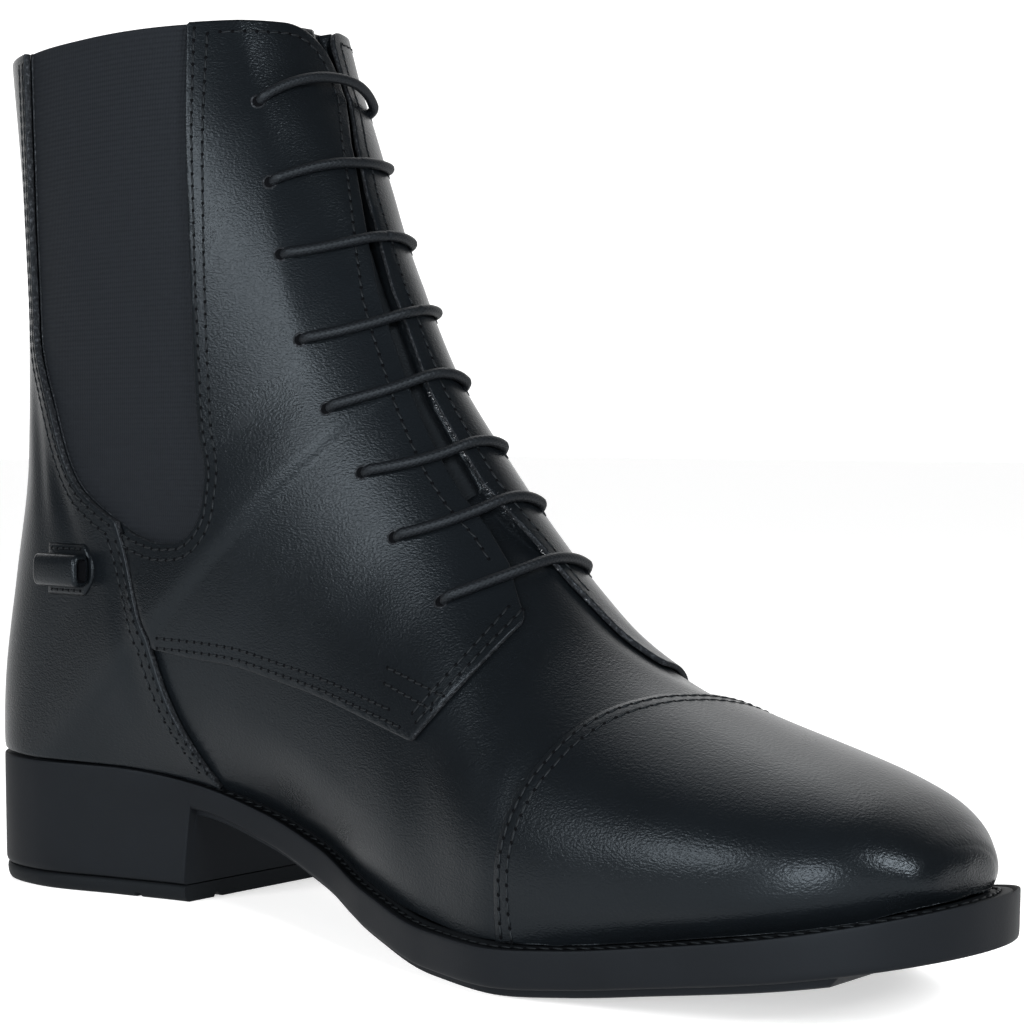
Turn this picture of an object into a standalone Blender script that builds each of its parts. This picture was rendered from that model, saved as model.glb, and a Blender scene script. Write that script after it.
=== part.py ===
"""A left jodhpur boot: laced front, elastic gores at the sides, toe cap and a low moulded heel.

All sizes are millimetres. X runs from the back of the heel to the toe, Y points to the outer side
of the foot and Z is up from the floor. The upper is one function of two values: s runs from the
toe (0) over the instep to the collar (1), and t runs round each section from the inner side (-1)
over the ridge (0) to the outer side (1).
"""
import math

import bpy
import bmesh
import numpy as np
from mathutils import Vector

MM = 0.001
LENGTH = 280.0
GAP = 0.3

# Sole: outline
SOLE_OUTLINE = (
    # station, centre line, half width
    (0.0, 0.4, 34.0),
    (26.0, -0.6, 34.5),
    (50.0, 1.6, 31.2),
    (72.0, 3.5, 28.0),
    (95.0, 4.0, 26.5),
    (115.0, 3.0, 28.5),
    (140.0, 1.0, 36.5),
    (165.0, -0.5, 43.5),
    (188.0, -2.5, 46.5),
    (212.0, -2.5, 43.5),
    (236.0, -3.5, 39.0),
    (258.0, -5.5, 35.0),
    (280.0, -7.0, 31.5),
)
HEEL_END = (27.0, 3.0)
TOE_END = (44.0, 2.4)

# Sole: height of its upper rim and of its underside over the floor
SOLE_HEIGHT = (
    # station, rim, underside
    (0.0, 32.0, 22.0),
    (50.0, 31.5, 22.0),
    (74.0, 29.0, 20.8),
    (95.0, 24.3, 15.6),
    (120.0, 18.4, 8.7),
    (145.0, 13.0, 3.0),
    (168.0, 10.0, 0.0),
    (186.0, 10.0, 0.0),
    (205.0, 11.5, 1.6),
    (225.0, 14.5, 4.5),
    (250.0, 19.0, 8.5),
    (280.0, 25.8, 14.2),
)
HEEL_BREAST = 72.0
BREAST_SLOPE = 2.0
TOP_LIFT_HEIGHT = 4.0
TREAD_STEP = 1.8
TREAD_TOE_END = 268.0
TREAD_INSET = 1.2
SOLE_EDGE_DRAFT = 0.4
SOLE_SHOULDER = 1.2
SOLE_TOP_INSET = 1.0
SOLE_TIP = 0.4
SOLE_TIP_HALF = 1.5
HEEL_STATIONS = 9
FOREPART_STATIONS = 26
LIFT_STATIONS = 10
LIFT_BULGE = 0.5
LIFT_BULGE_HEIGHT = 3.0

# Welt: from the heel breast round the toe, on a ledge of the sole
WELT_START = 66.0
WELT_THICKNESS = 1.8
WELT_RIM = 0.9
WELT_WIDTH = (
    # station, ledge between the sole's edge and the upper
    (0.0, 2.0),
    (60.0, 2.5),
    (100.0, 4.0),
    (150.0, 5.5),
    (280.0, 5.5),
)
WELT_UNDER_UPPER = 3.0
WELT_TOE_INSET = 1.2
WELT_STATIONS = 20

# Upper: the lower edge lies between these two stations
FEATHER_HEEL = 1.2
FEATHER_TOE = 273.0
UPPER_SECTIONS = (
    # front x, front z, ridge y, lower x, lower z, inner half, outer half, widest at, front power
    (273.0, 30.3, -8.0, 273.0, 25.6, 0.0, 0.0, 0.60, 2.00),
    (271.6, 34.0, -8.0, 271.6, 25.0, 12.0, 12.0, 0.60, 2.10),
    (267.8, 37.4, -7.5, 267.8, 23.9, 18.0, 18.0, 0.60, 2.30),
    (261.0, 41.2, -7.0, 261.0, 21.6, 25.0, 25.0, 0.65, 2.40),
    (249.5, 45.2, -6.2, 249.5, 19.3, 32.0, 32.0, 0.70, 2.30),
    (235.0, 49.0, -5.0, 235.0, 16.7, 37.0, 37.0, 0.72, 2.20),
    (217.0, 53.8, -4.0, 217.0, 13.6, 40.0, 40.5, 0.74, 2.10),
    (198.0, 60.2, -3.2, 198.0, 11.1, 41.2, 42.0, 0.76, 2.00),
    (182.0, 69.2, -3.0, 176.0, 10.3, 40.5, 42.0, 0.78, 1.95),
    (169.0, 81.3, -3.0, 150.0, 12.4, 37.2, 40.0, 0.78, 1.93),
    (158.0, 94.4, -3.0, 120.0, 18.7, 33.0, 36.5, 0.76, 1.93),
    (148.0, 107.0, -3.0, 86.0, 26.6, 31.5, 35.0, 0.74, 1.95),
    (138.0, 119.6, -3.0, 50.0, 31.8, 31.5, 35.0, 0.72, 1.98),
    (130.5, 130.0, -2.8, 19.5, 32.6, 31.5, 35.0, 0.70, 2.00),
    (123.5, 141.0, -2.4, 1.2, 33.0, 31.5, 34.8, 0.68, 2.03),
    (117.0, 151.0, -1.8, -1.6, 51.0, 31.5, 34.6, 0.66, 2.06),
    (110.5, 162.0, -1.0, 0.8, 78.0, 31.8, 34.0, 0.62, 2.08),
    (104.5, 173.0, 0.0, 4.0, 107.0, 32.0, 33.3, 0.58, 2.10),
    (98.0, 184.5, 0.8, 4.2, 137.0, 32.5, 32.5, 0.54, 2.15),
    (91.5, 197.0, 1.0, 2.4, 169.0, 33.0, 32.5, 0.51, 2.20),
    (86.5, 210.5, 1.0, -2.4, 206.0, 33.0, 32.5, 0.48, 2.20),
)
# Section whose lower end is the back of the heel: those after it close at the back seam
HEEL_SECTION = 14
BACK_ROUNDING = (
    # height, length of the round end in plan, its power
    (32.0, 27.0, 2.9),
    (55.0, 31.0, 2.6),
    (107.0, 38.0, 2.3),
    (206.0, 42.0, 2.25),
)
SEAM_POINTS = 121
LOWER_ROLL = math.radians(60.0)
ROLL_FADE = 0.1
WIDEST_T = 0.55
NORMAL_STEP = 0.002
SECTION_STEPS = (2, 2, 1, 1, 1, 1, 2, 2, 2, 2, 2, 2, 2, 5, 1, 1, 1, 1, 1, 1)
ROUND_STEPS = 12

# Sections where the blanks of the panels begin, or end for the toe cap
GORE_FIRST = 11
QUARTER_FIRST = 7
COUNTER_FIRST = 10
CAP_LAST = 9

UPPER_WALL = 2.0
LEATHER = 1.3
COUNTER_LEATHER = 1.7
GORE_INSET = 0.4
GORE_SINK = 0.3
GORE_THICKNESS = 1.2

# Cutters reach from near the middle plane to well past the boot
CUTTER_START = 2.5
CUTTER_REACH = 80.0
CUTTER_TOP = 225.0

# Panels, seen from the side
PANEL_GAP = 0.5
QUARTER_REAR = 60.0
QUARTER_FRONT = 200.0
STRIP_FRONT = 45.0
GORE_OUTLINE = (
    # x, z
    (22.0, 225.0),
    (21.0, 171.0),
    (22.0, 138.6),
    (31.3, 118.7),
    (38.0, 105.5),
    (43.0, 99.6),
    (49.4, 95.4),
    (56.3, 91.8),
    (63.7, 88.5),
    (71.9, 86.9),
    (77.8, 87.2),
    (82.5, 89.8),
    (85.0, 94.9),
    (85.1, 101.5),
    (82.2, 113.4),
    (78.8, 144.1),
    (72.0, 225.0),
)
COUNTER_FRONT = (
    # x, z
    (83.0, 26.0),
    (80.2, 34.0),
    (75.2, 44.4),
    (71.2, 54.6),
    (67.4, 66.5),
    (62.8, 77.6),
    (56.6, 92.0),
)
QUARTER_FOOT = (
    # x, z
    (81.0, 60.2),
    (93.7, 59.5),
    (109.6, 56.8),
    (126.3, 53.6),
    (140.3, 50.5),
    (155.6, 47.4),
)
# Front ends of the two quarters: the outer one reaches further over the vamp
INNER_NOSE = (
    # x, z
    (162.6, 54.8),
    (167.5, 61.5),
    (170.6, 67.6),
    (172.0, 72.0),
    (172.5, 76.0),
    (173.0, 84.0),
)
OUTER_NOSE = (
    # x, z
    (171.0, 45.0),
    (178.0, 50.5),
    (183.5, 56.0),
    (187.5, 61.0),
    (189.5, 64.5),
    (190.5, 70.0),
)
# Front edge of the toe cap's seam, seen from above
CAP_SEAM = (
    # x, y
    (187.5, -60.0),
    (188.0, -45.0),
    (191.0, -41.0),
    (194.0, -36.0),
    (197.0, -28.0),
    (201.0, -17.0),
    (204.5, -6.0),
    (206.0, 5.0),
    (205.5, 15.0),
    (203.0, 25.0),
    (199.5, 34.0),
    (196.5, 44.0),
    (196.0, 60.0),
)
# Edges of the two facings, at the inner and the outer side of the throat
THROAT = (
    # s, y of the inner edge, y of the outer edge
    (0.360, -22.0, 16.0),
    (0.378, -20.5, 9.0),
    (0.400, -19.0, 5.1),
    (0.425, -17.5, 2.2),
    (0.443, -16.4, -0.5),
    (0.470, -12.9, -2.8),
    (0.500, -12.1, -6.0),
    (0.530, -12.6, -7.9),
    (0.560, -12.4, -7.9),
    (0.610, -11.1, -7.6),
    (0.665, -9.5, -5.9),
    (0.725, -7.9, -4.6),
    (0.770, -5.7, -2.5),
    (0.835, -1.8, 0.1),
    (0.885, 1.6, 3.5),
    (0.932, 6.3, 8.2),
    (1.060, 6.6, 8.6),
)
THROAT_FOOT = 0.45
THROAT_CLEAR = 10.0
THROAT_DEPTH = 9.0
THROAT_STATIONS = 22

TONGUE_START = 0.43
TONGUE_END = 1.003
TONGUE_REACH = 0.24
TONGUE_THICKNESS = 2.0
TONGUE_UNDER = 0.6
TONGUE_ROWS = 18
TONGUE_COLUMNS = 7

INSOLE_THICKNESS = 3.0
INSOLE_CLEARANCE = 5.6
INSOLE_STATIONS = 22

# Lacing: eight bars of round cord, each between two eyelets
LACE_BARS = (
    # s and t of the inner eyelet, s and t of the outer one, s of the middle
    (0.931, -0.180, 0.931, 0.180, 0.945),
    (0.863, -0.199, 0.870, 0.135, 0.860),
    (0.800, -0.203, 0.785, 0.110, 0.779),
    (0.723, -0.204, 0.705, 0.095, 0.692),
    (0.651, -0.211, 0.622, 0.085, 0.627),
    (0.588, -0.228, 0.560, 0.085, 0.561),
    (0.541, -0.252, 0.512, 0.105, 0.512),
    (0.486, -0.252, 0.466, 0.140, 0.460),
)
LACE_DIAMETER = 2.8
LACE_POINTS = 8

SPUR_REST = {
    "s": 0.737,
    "t": 0.549,
    "length": 18.0,
    "height": 8.0,
    "depth": 5.0,
    "stand_off": 0.6,
    "round_edge": 1.2,
    "points": 12,
}

BLACK_LEATHER = (0.016, 0.018, 0.022)
BLACK_RUBBER = (0.012, 0.012, 0.013)
BLACK_WEBBING = (0.010, 0.011, 0.013)
BLACK_CORD = (0.009, 0.009, 0.010)
TAN_BOARD = (0.18, 0.12, 0.07)


def column(table, index):
    return np.array([row[index] for row in table], dtype=float)


def smooth(stations, values, where):
    """Cubic curve through the values that keeps each rise and fall where the table has it."""
    step = np.diff(stations)
    rise = np.diff(values) / step
    slope = np.zeros(len(values))
    for i in range(1, len(values) - 1):
        if rise[i - 1] * rise[i] > 0.0:
            before = 2.0 * step[i] + step[i - 1]
            after = step[i] + 2.0 * step[i - 1]
            slope[i] = (before + after) / (before / rise[i - 1] + after / rise[i])
    slope[0] = rise[0]
    slope[-1] = rise[-1]
    where = np.asarray(where, dtype=float)
    span = np.clip(np.searchsorted(stations, where, side="right") - 1, 0, len(step) - 1)
    inside = np.clip(where, stations[0], stations[-1])
    u = (inside - stations[span]) / step[span]
    cubic = (
        values[span] * (1 + 2 * u) * (1 - u) ** 2
        + slope[span] * step[span] * u * (1 - u) ** 2
        + values[span + 1] * u * u * (3 - 2 * u)
        + slope[span + 1] * step[span] * u * u * (u - 1)
    )
    beyond = np.where(where > stations[-1], slope[-1] * (where - stations[-1]), 0.0)
    return cubic + beyond


def heel_rounding(x):
    length, power = HEEL_END
    behind = np.clip((length - x) / length, 0.0, 1.0)
    return (1.0 - behind ** power) ** (1.0 / power)


def toe_rounding(x):
    length, power = TOE_END
    ahead = np.clip((x - LENGTH + length) / length, 0.0, 1.0)
    return (1.0 - ahead ** power) ** (1.0 / power)


def sole_centre(x):
    return smooth(column(SOLE_OUTLINE, 0), column(SOLE_OUTLINE, 1), np.clip(x, 0.0, LENGTH))


def sole_half(x, inset=0.0, heel=True):
    half = smooth(column(SOLE_OUTLINE, 0), column(SOLE_OUTLINE, 2), np.clip(x, 0.0, LENGTH))
    return (half - inset) * toe_rounding(x) * (heel_rounding(x) if heel else 1.0)


def sole_rim(x):
    return smooth(column(SOLE_HEIGHT, 0), column(SOLE_HEIGHT, 1), np.clip(x, 0.0, LENGTH))


def sole_underside(x):
    return smooth(column(SOLE_HEIGHT, 0), column(SOLE_HEIGHT, 2), np.clip(x, 0.0, LENGTH))


def welt_width(x):
    return np.interp(x, column(WELT_WIDTH, 0), column(WELT_WIDTH, 1))


def feather_half(x, inset=0.0, heel=True):
    """Half width of the upper's lower edge, which follows the sole inside the welt."""
    along = np.clip((x - FEATHER_HEEL) / (FEATHER_TOE - FEATHER_HEEL), 0.0, 1.0) * LENGTH
    return np.maximum(sole_half(along, welt_width(x) + inset, heel), 0.0)


def back_rounding(x, z):
    """1 along the sides, falling to 0 round the back of the heel and shaft at this height."""
    rows = np.linspace(0.0, 1.0, len(UPPER_SECTIONS))
    back = np.linspace(rows[HEEL_SECTION], 1.0, SEAM_POINTS)
    heights = smooth(rows, column(UPPER_SECTIONS, 4), back)
    seam = np.interp(z, heights, smooth(rows, column(UPPER_SECTIONS, 3), back))
    length = smooth(column(BACK_ROUNDING, 0), column(BACK_ROUNDING, 1), z)
    power = smooth(column(BACK_ROUNDING, 0), column(BACK_ROUNDING, 2), z)
    behind = np.clip((seam + length - x) / length, 0.0, 1.0)
    return (1.0 - behind ** power) ** (1.0 / power)


def upper_surface(s, t):
    """Point of the upper's outside at section s and place t round the section."""
    rows = np.linspace(0.0, 1.0, len(UPPER_SECTIONS))
    values = [smooth(rows, column(UPPER_SECTIONS, i), s) for i in range(9)]
    front_x, front_z, ridge_y, low_x, low_z, inner, outer, widest, power = values
    edge = feather_half(low_x, heel=False)
    width = np.maximum(np.where(t < 0.0, inner, outer), edge)
    heel = HEEL_SECTION / (len(UPPER_SECTIONS) - 1)
    tuck = (width - edge) * np.clip(1.0 - (s - heel) / ROLL_FADE, 0.0, 1.0)
    v = np.abs(t)
    front = np.clip(v / WIDEST_T, 0.0, 1.0) * math.pi / 2.0
    lower = np.sin(np.clip((v - WIDEST_T) / (1.0 - WIDEST_T), 0.0, 1.0) * math.pi / 2.0)
    roll = (1.0 - np.cos(lower * LOWER_ROLL)) / (1.0 - math.cos(LOWER_ROLL))
    ahead = v <= WIDEST_T
    over_front = widest * (1.0 - np.cos(front) ** (2.0 / power))
    along = np.where(ahead, over_front, widest + (1.0 - widest) * lower)
    side = np.where(ahead, width * np.sin(front) ** (2.0 / power), width - tuck * roll)
    x = front_x + (low_x - front_x) * along
    z = front_z + (low_z - front_z) * along
    middle = ridge_y + (sole_centre(low_x) - ridge_y) * along
    return np.stack([x, middle + np.sign(t) * side * back_rounding(x, z), z], axis=-1)


def upper_normal(s, t):
    """Direction out of the leather, kept level where the wall turns under."""
    s_in = np.clip(s, 2.0 * NORMAL_STEP, 1.0)
    t_in = np.clip(t, -1.0 + 2.0 * NORMAL_STEP, 1.0 - 2.0 * NORMAL_STEP)
    across = upper_surface(s_in, t_in + NORMAL_STEP) - upper_surface(s_in, t_in - NORMAL_STEP)
    forward = upper_surface(s_in + NORMAL_STEP, t_in) - upper_surface(s_in - NORMAL_STEP, t_in)
    normal = np.cross(across, forward)
    normal[..., 2] = np.maximum(normal[..., 2], 0.0)
    return normal / np.linalg.norm(normal, axis=-1, keepdims=True)


def upper_offset(s, t, offset):
    """Point at a distance from the upper's outside, never lower than the sole it stands on."""
    place = upper_surface(s, t) + offset * upper_normal(s, t)
    floor = sole_rim(place[..., 0]) + GAP
    place[..., 2] = np.maximum(place[..., 2], floor)
    return place


def section_values():
    rows = len(UPPER_SECTIONS) - 1
    values = [0.0]
    for row, steps in enumerate(SECTION_STEPS):
        for k in range(1, steps + 1):
            part = k / steps
            if row == HEEL_SECTION - 1:
                part = math.sin(part * math.pi / 2.0)
            if row == 0:
                part = part * part
            values.append((row + part) / rows)
    return np.array(values)


def new_material(name, colour, roughness):
    material = bpy.data.materials.new(name)
    material.use_nodes = True
    shader = material.node_tree.nodes["Principled BSDF"]
    shader.inputs["Base Color"].default_value = (*colour, 1.0)
    shader.inputs["Roughness"].default_value = roughness
    shader.inputs["Metallic"].default_value = 0.0
    return material


def place_object(name, mesh, material, smooth_angle=40.0):
    mesh.materials.append(material)
    mesh.shade_smooth()
    mesh.set_sharp_from_angle(angle=math.radians(smooth_angle))
    item = bpy.data.objects.new(name, mesh)
    bpy.context.scene.collection.objects.link(item)
    item.parent = BOOT
    return item


def mesh_from(bm, name):
    bmesh.ops.remove_doubles(bm, verts=bm.verts[:], dist=1e-6)
    bmesh.ops.recalc_face_normals(bm, faces=bm.faces[:])
    mesh = bpy.data.meshes.new(name)
    bm.to_mesh(mesh)
    bm.free()
    return mesh


def add_vert(bm, point):
    return bm.verts.new(Vector((float(c) for c in point)) * MM)


def add_face(bm, corners):
    distinct = []
    for corner in corners:
        if corner not in distinct:
            distinct.append(corner)
    if len(distinct) > 2:
        bm.faces.new(distinct)


def cutter(name, mesh):
    item = bpy.data.objects.new(name, mesh)
    bpy.context.scene.collection.objects.link(item)
    item.parent = BOOT
    item.hide_render = True
    item.display_type = "WIRE"
    return item


def cut(item, tool, operation):
    boolean = item.modifiers.new(tool.name, "BOOLEAN")
    boolean.object = tool
    boolean.operation = operation
    boolean.solver = "EXACT"


def prism(name, outline, lift):
    """Closed prism over an outline; lift turns an outline point and 0 or 1 into a place."""
    bm = bmesh.new()
    near = [add_vert(bm, lift(a, b, 0)) for a, b in outline]
    far = [add_vert(bm, lift(a, b, 1)) for a, b in outline]
    bm.faces.new(near)
    bm.faces.new(far)
    for i in range(len(outline)):
        k = (i + 1) % len(outline)
        bm.faces.new((near[i], near[k], far[k], far[i]))
    return cutter(name, mesh_from(bm, name))


def side_prism(name, outline, side, start):
    """Prism along Y on one side of the boot; side is -1 for the inner and 1 for the outer one."""
    return prism(name, outline, lambda x, z, far: (x, side * (CUTTER_REACH if far else start), z))


def upper_blank(inner_offset, outer_offset, name, first=0, last=None):
    """Closed shell between two distances from the upper's outside, from one section to another."""
    rows = len(UPPER_SECTIONS) - 1
    low = first / rows - 1e-9
    high = (rows if last is None else last) / rows + 1e-9
    s_values = np.array([s for s in section_values() if low <= s <= high])
    t_values = np.linspace(-1.0, 1.0, 2 * ROUND_STEPS + 1)
    heel = HEEL_SECTION / rows - 1e-9
    s_grid, t_grid = np.meshgrid(s_values, t_values, indexing="ij")
    bm = bmesh.new()
    skins = []
    for offset in (inner_offset, outer_offset):
        places = upper_offset(s_grid, t_grid, offset)
        skin = []
        for s, line in zip(s_values, places):
            if s == 0.0:
                ring = [add_vert(bm, p) for p in (line + line[::-1])[:ROUND_STEPS + 1] / 2.0]
                ring += ring[-2::-1]
            elif s > heel:
                ring = [add_vert(bm, (line[0] + line[-1]) / 2.0)]
                ring += [add_vert(bm, p) for p in line[1:-1]] + ring[:1]
            else:
                ring = [add_vert(bm, p) for p in line]
            skin.append(ring)
        skins.append(skin)
    inside, outside = skins
    columns = len(t_values) - 1
    for i in range(len(s_values) - 1):
        for k in range(columns):
            for skin in skins:
                add_face(bm, (skin[i][k], skin[i][k + 1], skin[i + 1][k]))
                add_face(bm, (skin[i][k + 1], skin[i + 1][k + 1], skin[i + 1][k]))
        if s_values[i] < heel:
            for k in (0, columns):
                add_face(bm, (inside[i][k], outside[i][k], outside[i + 1][k], inside[i + 1][k]))
    open_ends = (0, -1) if s_values[0] > 0.0 else (-1,)
    for i in open_ends:
        for k in range(columns):
            add_face(bm, (inside[i][k], inside[i][k + 1], outside[i][k + 1], outside[i][k]))
    return mesh_from(bm, name)


def upper_patch(s_values, t_values, inner_offset, outer_offset, name):
    """Closed plate over a patch of the upper's function."""
    s_grid, t_grid = np.meshgrid(s_values, t_values, indexing="ij")
    bm = bmesh.new()
    skins = []
    for offset in (inner_offset, outer_offset):
        places = upper_offset(s_grid, t_grid, offset)
        skins.append([[add_vert(bm, p) for p in ring] for ring in places])
    inside, outside = skins
    rows = len(s_values) - 1
    columns = len(t_values) - 1
    for i in range(rows):
        for k in range(columns):
            for skin in skins:
                add_face(bm, (skin[i][k], skin[i][k + 1], skin[i + 1][k + 1], skin[i + 1][k]))
        for k in (0, columns):
            add_face(bm, (inside[i][k], outside[i][k], outside[i + 1][k], inside[i + 1][k]))
    for k in range(columns):
        for i in (0, rows):
            add_face(bm, (inside[i][k], inside[i][k + 1], outside[i][k + 1], outside[i][k]))
    return mesh_from(bm, name)


def loft(rings, name):
    """Closed body through rings of equal count, with its first and last ring filled."""
    bm = bmesh.new()
    loops = [[add_vert(bm, p) for p in ring] for ring in rings]
    for a, b in zip(loops[:-1], loops[1:]):
        for k in range(len(a)):
            m = (k + 1) % len(a)
            add_face(bm, (a[k], a[m], b[m], b[k]))
    bm.faces.new(loops[0])
    bm.faces.new(loops[-1])
    return mesh_from(bm, name)


def end_spaced(start, stop, count):
    """Stations that crowd towards both ends."""
    turn = np.linspace(0.0, math.pi, count)
    return start + (stop - start) * (0.5 - 0.5 * np.cos(turn))


def sole_top(x):
    """Face that carries the welt, or the upper itself at the heel."""
    return sole_rim(x) - np.where(x < WELT_START, 0.0, WELT_THICKNESS + GAP)


def mirrored_ring(x, profile):
    """Closed ring at one station from half widths and heights, listed from the top down."""
    middle = float(sole_centre(x))
    inner = [(x, middle - half, z) for half, z in profile]
    outer = [(x, middle + half, z) for half, z in profile]
    return inner + outer[::-1]


def sole_ring(x, top, bottom):
    """Section of the rubber at one station: rounded upper edge, drafted side, inset tread."""
    half = max(float(sole_half(x)), SOLE_TIP_HALF)
    return mirrored_ring(x, (
        (half - SOLE_TOP_INSET, top),
        (half, top - SOLE_SHOULDER),
        (half - SOLE_EDGE_DRAFT, bottom + SOLE_SHOULDER + SOLE_TOP_INSET),
        (max(half - TREAD_INSET, SOLE_TIP), bottom),
    ))


def make_outsole(material):
    block_floor = TOP_LIFT_HEIGHT + GAP
    breast_foot = HEEL_BREAST - BREAST_SLOPE
    heel = end_spaced(0.0, 2.0 * breast_foot, 2 * HEEL_STATIONS - 1)[:HEEL_STATIONS]
    stations = [(max(x, SOLE_TIP), block_floor) for x in heel]
    stations += [(WELT_START + x, block_floor) for x in (-SOLE_TIP, SOLE_TIP)]
    stations.append((HEEL_BREAST, float(sole_underside(HEEL_BREAST))))
    along = np.linspace(0.0, 1.0, FOREPART_STATIONS)[1:]
    reach = LENGTH - SOLE_TIP - HEEL_BREAST
    forepart = list(HEEL_BREAST + reach * along * (3.0 - along ** 2) / 2.0)
    forepart += [TREAD_TOE_END - SOLE_TIP, TREAD_TOE_END + SOLE_TIP]
    for x in forepart:
        rise = TREAD_STEP if x > TREAD_TOE_END else 0.0
        stations.append((x, float(sole_underside(x)) + rise))
    rings = [sole_ring(x, float(sole_top(x)), bottom) for x, bottom in sorted(stations)]
    return place_object("outsole", loft(rings, "outsole"), material, 30.0)


def make_top_lift(material):
    rings = []
    front = HEEL_BREAST - BREAST_SLOPE
    back = SOLE_TIP + LIFT_BULGE
    for x in end_spaced(back, 2.0 * front - back, 2 * LIFT_STATIONS - 1)[:LIFT_STATIONS]:
        half = max(float(sole_half(x)), SOLE_TIP_HALF + TREAD_INSET) - TREAD_INSET
        rings.append(mirrored_ring(x, (
            (half, TOP_LIFT_HEIGHT),
            (half + LIFT_BULGE, LIFT_BULGE_HEIGHT),
            (half, 0.0),
        )))
    return place_object("heel_top_lift", loft(rings, "heel_top_lift"), material, 30.0)


def make_welt(material):
    """Strip that starts at one side of the heel breast, goes round the toe and ends at the other."""
    start = WELT_START + WELT_RIM
    part = np.linspace(0.0, 1.0, WELT_STATIONS)
    along = start + (LENGTH - WELT_TOE_INSET - start) * part * (3.0 - part ** 2) / 2.0
    path = [(x, -1.0) for x in along] + [(x, 1.0) for x in along[::-1][1:]]
    rings = []
    for x, side in path:
        inner_x = min(x, FEATHER_TOE - WELT_UNDER_UPPER)
        outer = float(sole_centre(x) + side * sole_half(x, WELT_RIM))
        inner = float(sole_centre(inner_x) + side * feather_half(inner_x, WELT_UNDER_UPPER))
        inner_top = float(sole_rim(inner_x))
        top = float(sole_rim(x))
        rings.append((
            (x, outer, top - WELT_THICKNESS),
            (x, outer, top),
            (inner_x, inner, inner_top),
            (inner_x, inner, inner_top - WELT_THICKNESS),
        ))
    return place_object("welt", loft(rings, "welt"), material, 30.0)


def make_insole(material):
    rings = []
    start = FEATHER_HEEL + INSOLE_CLEARANCE
    stop = FEATHER_TOE - 2.0 * INSOLE_CLEARANCE
    for x in end_spaced(start, stop, INSOLE_STATIONS):
        half = max(float(feather_half(x)) - INSOLE_CLEARANCE, SOLE_TIP_HALF)
        low = float(sole_rim(x)) + GAP
        rings.append(mirrored_ring(x, ((half, low + INSOLE_THICKNESS), (half, low))))
    return place_object("insole", loft(rings, "insole"), material, 30.0)


def throat_cutter(name, first, inner_edge, outer_edge):
    """Body along the ridge, from section first to past the collar, between two edges in Y."""
    rings = []
    for s in np.linspace(first, THROAT[-1][0], THROAT_STATIONS):
        inner = float(np.interp(s, column(THROAT, 0), inner_edge))
        outer = float(np.interp(s, column(THROAT, 0), outer_edge))
        point = upper_surface(np.array(s), np.array(0.0))
        out = upper_normal(np.array(s), np.array(NORMAL_STEP))
        low = point - THROAT_DEPTH * out
        high = point + THROAT_DEPTH * out
        rings.append((
            (low[0], inner, low[2]),
            (low[0], outer, low[2]),
            (high[0], outer, high[2]),
            (high[0], inner, high[2]),
        ))
    return cutter(name, loft(rings, name))


def grown(outline, margin):
    """Outline moved outwards by a margin, or inwards by a negative one."""
    points = [Vector(p) for p in outline]
    area = sum(a.x * b.y - b.x * a.y for a, b in zip(points, points[1:] + points[:1]))
    turn = 1.0 if area > 0.0 else -1.0
    moved = []
    for before, point, after in zip(points[-1:] + points[:-1], points, points[1:] + points[:1]):
        first = (point - before).normalized()
        second = (after - point).normalized()
        out = Vector((first.y + second.y, -first.x - second.x)) * turn
        out.normalize()
        moved.append(tuple(point + out * margin))
    return moved


def make_gores(webbing):
    """Gores of both sides; returns the tools that cut their windows into the leather."""
    windows = []
    for side, word in ((-1, "inner"), (1, "outer")):
        windows.append(side_prism("gore_window_" + word, GORE_OUTLINE, side, CUTTER_START))
        inset = grown(GORE_OUTLINE, -GORE_INSET)
        filling = side_prism("gore_cutter_" + word, inset, side, CUTTER_START)
        mesh = upper_blank(-GORE_SINK - GORE_THICKNESS, -GORE_SINK, "gore_" + word, GORE_FIRST)
        cut(place_object("gore_" + word, mesh, webbing), filling, "INTERSECT")
    return windows


def make_quarter(word, side, nose, facing, window, leather):
    """Flap from the counter to the throat; facing is the tool that cuts its front edge."""
    rear = [(x + PANEL_GAP, z) for x, z in COUNTER_FRONT[::-1] if z > QUARTER_FOOT[0][1]]
    front = [(QUARTER_FRONT, nose[-1][1]), (QUARTER_FRONT, CUTTER_TOP)]
    outline = [(QUARTER_REAR, CUTTER_TOP)] + rear + list(QUARTER_FOOT + nose) + front
    flap = side_prism("quarter_cutter_" + word, outline, side, -THROAT_CLEAR)
    mesh = upper_blank(GAP, GAP + LEATHER, "quarter_" + word, QUARTER_FIRST)
    quarter = place_object("quarter_" + word, mesh, leather)
    cut(quarter, flap, "INTERSECT")
    cut(quarter, window, "DIFFERENCE")
    cut(quarter, facing, "DIFFERENCE")


def make_quarters(leather, windows):
    """The two facings are not level: each has its own edge along the throat."""
    first = THROAT[0][0]
    inner_edge = column(THROAT, 1)
    outer_edge = column(THROAT, 2)
    past = THROAT_CLEAR + GAP
    inner_facing = throat_cutter("inner_facing", first, inner_edge, np.maximum(inner_edge + past, past))
    outer_facing = throat_cutter("outer_facing", first, np.minimum(outer_edge - past, -past), outer_edge)
    make_quarter("inner", -1, INNER_NOSE, inner_facing, windows[0], leather)
    make_quarter("outer", 1, OUTER_NOSE, outer_facing, windows[1], leather)


def make_upper(material, windows):
    upper = place_object("upper", upper_blank(-UPPER_WALL, 0.0, "upper"), material)
    throat = throat_cutter("throat_cutter", THROAT_FOOT, column(THROAT, 1), column(THROAT, 2))
    for window in windows:
        cut(upper, window, "DIFFERENCE")
    cut(upper, throat, "DIFFERENCE")


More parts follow.
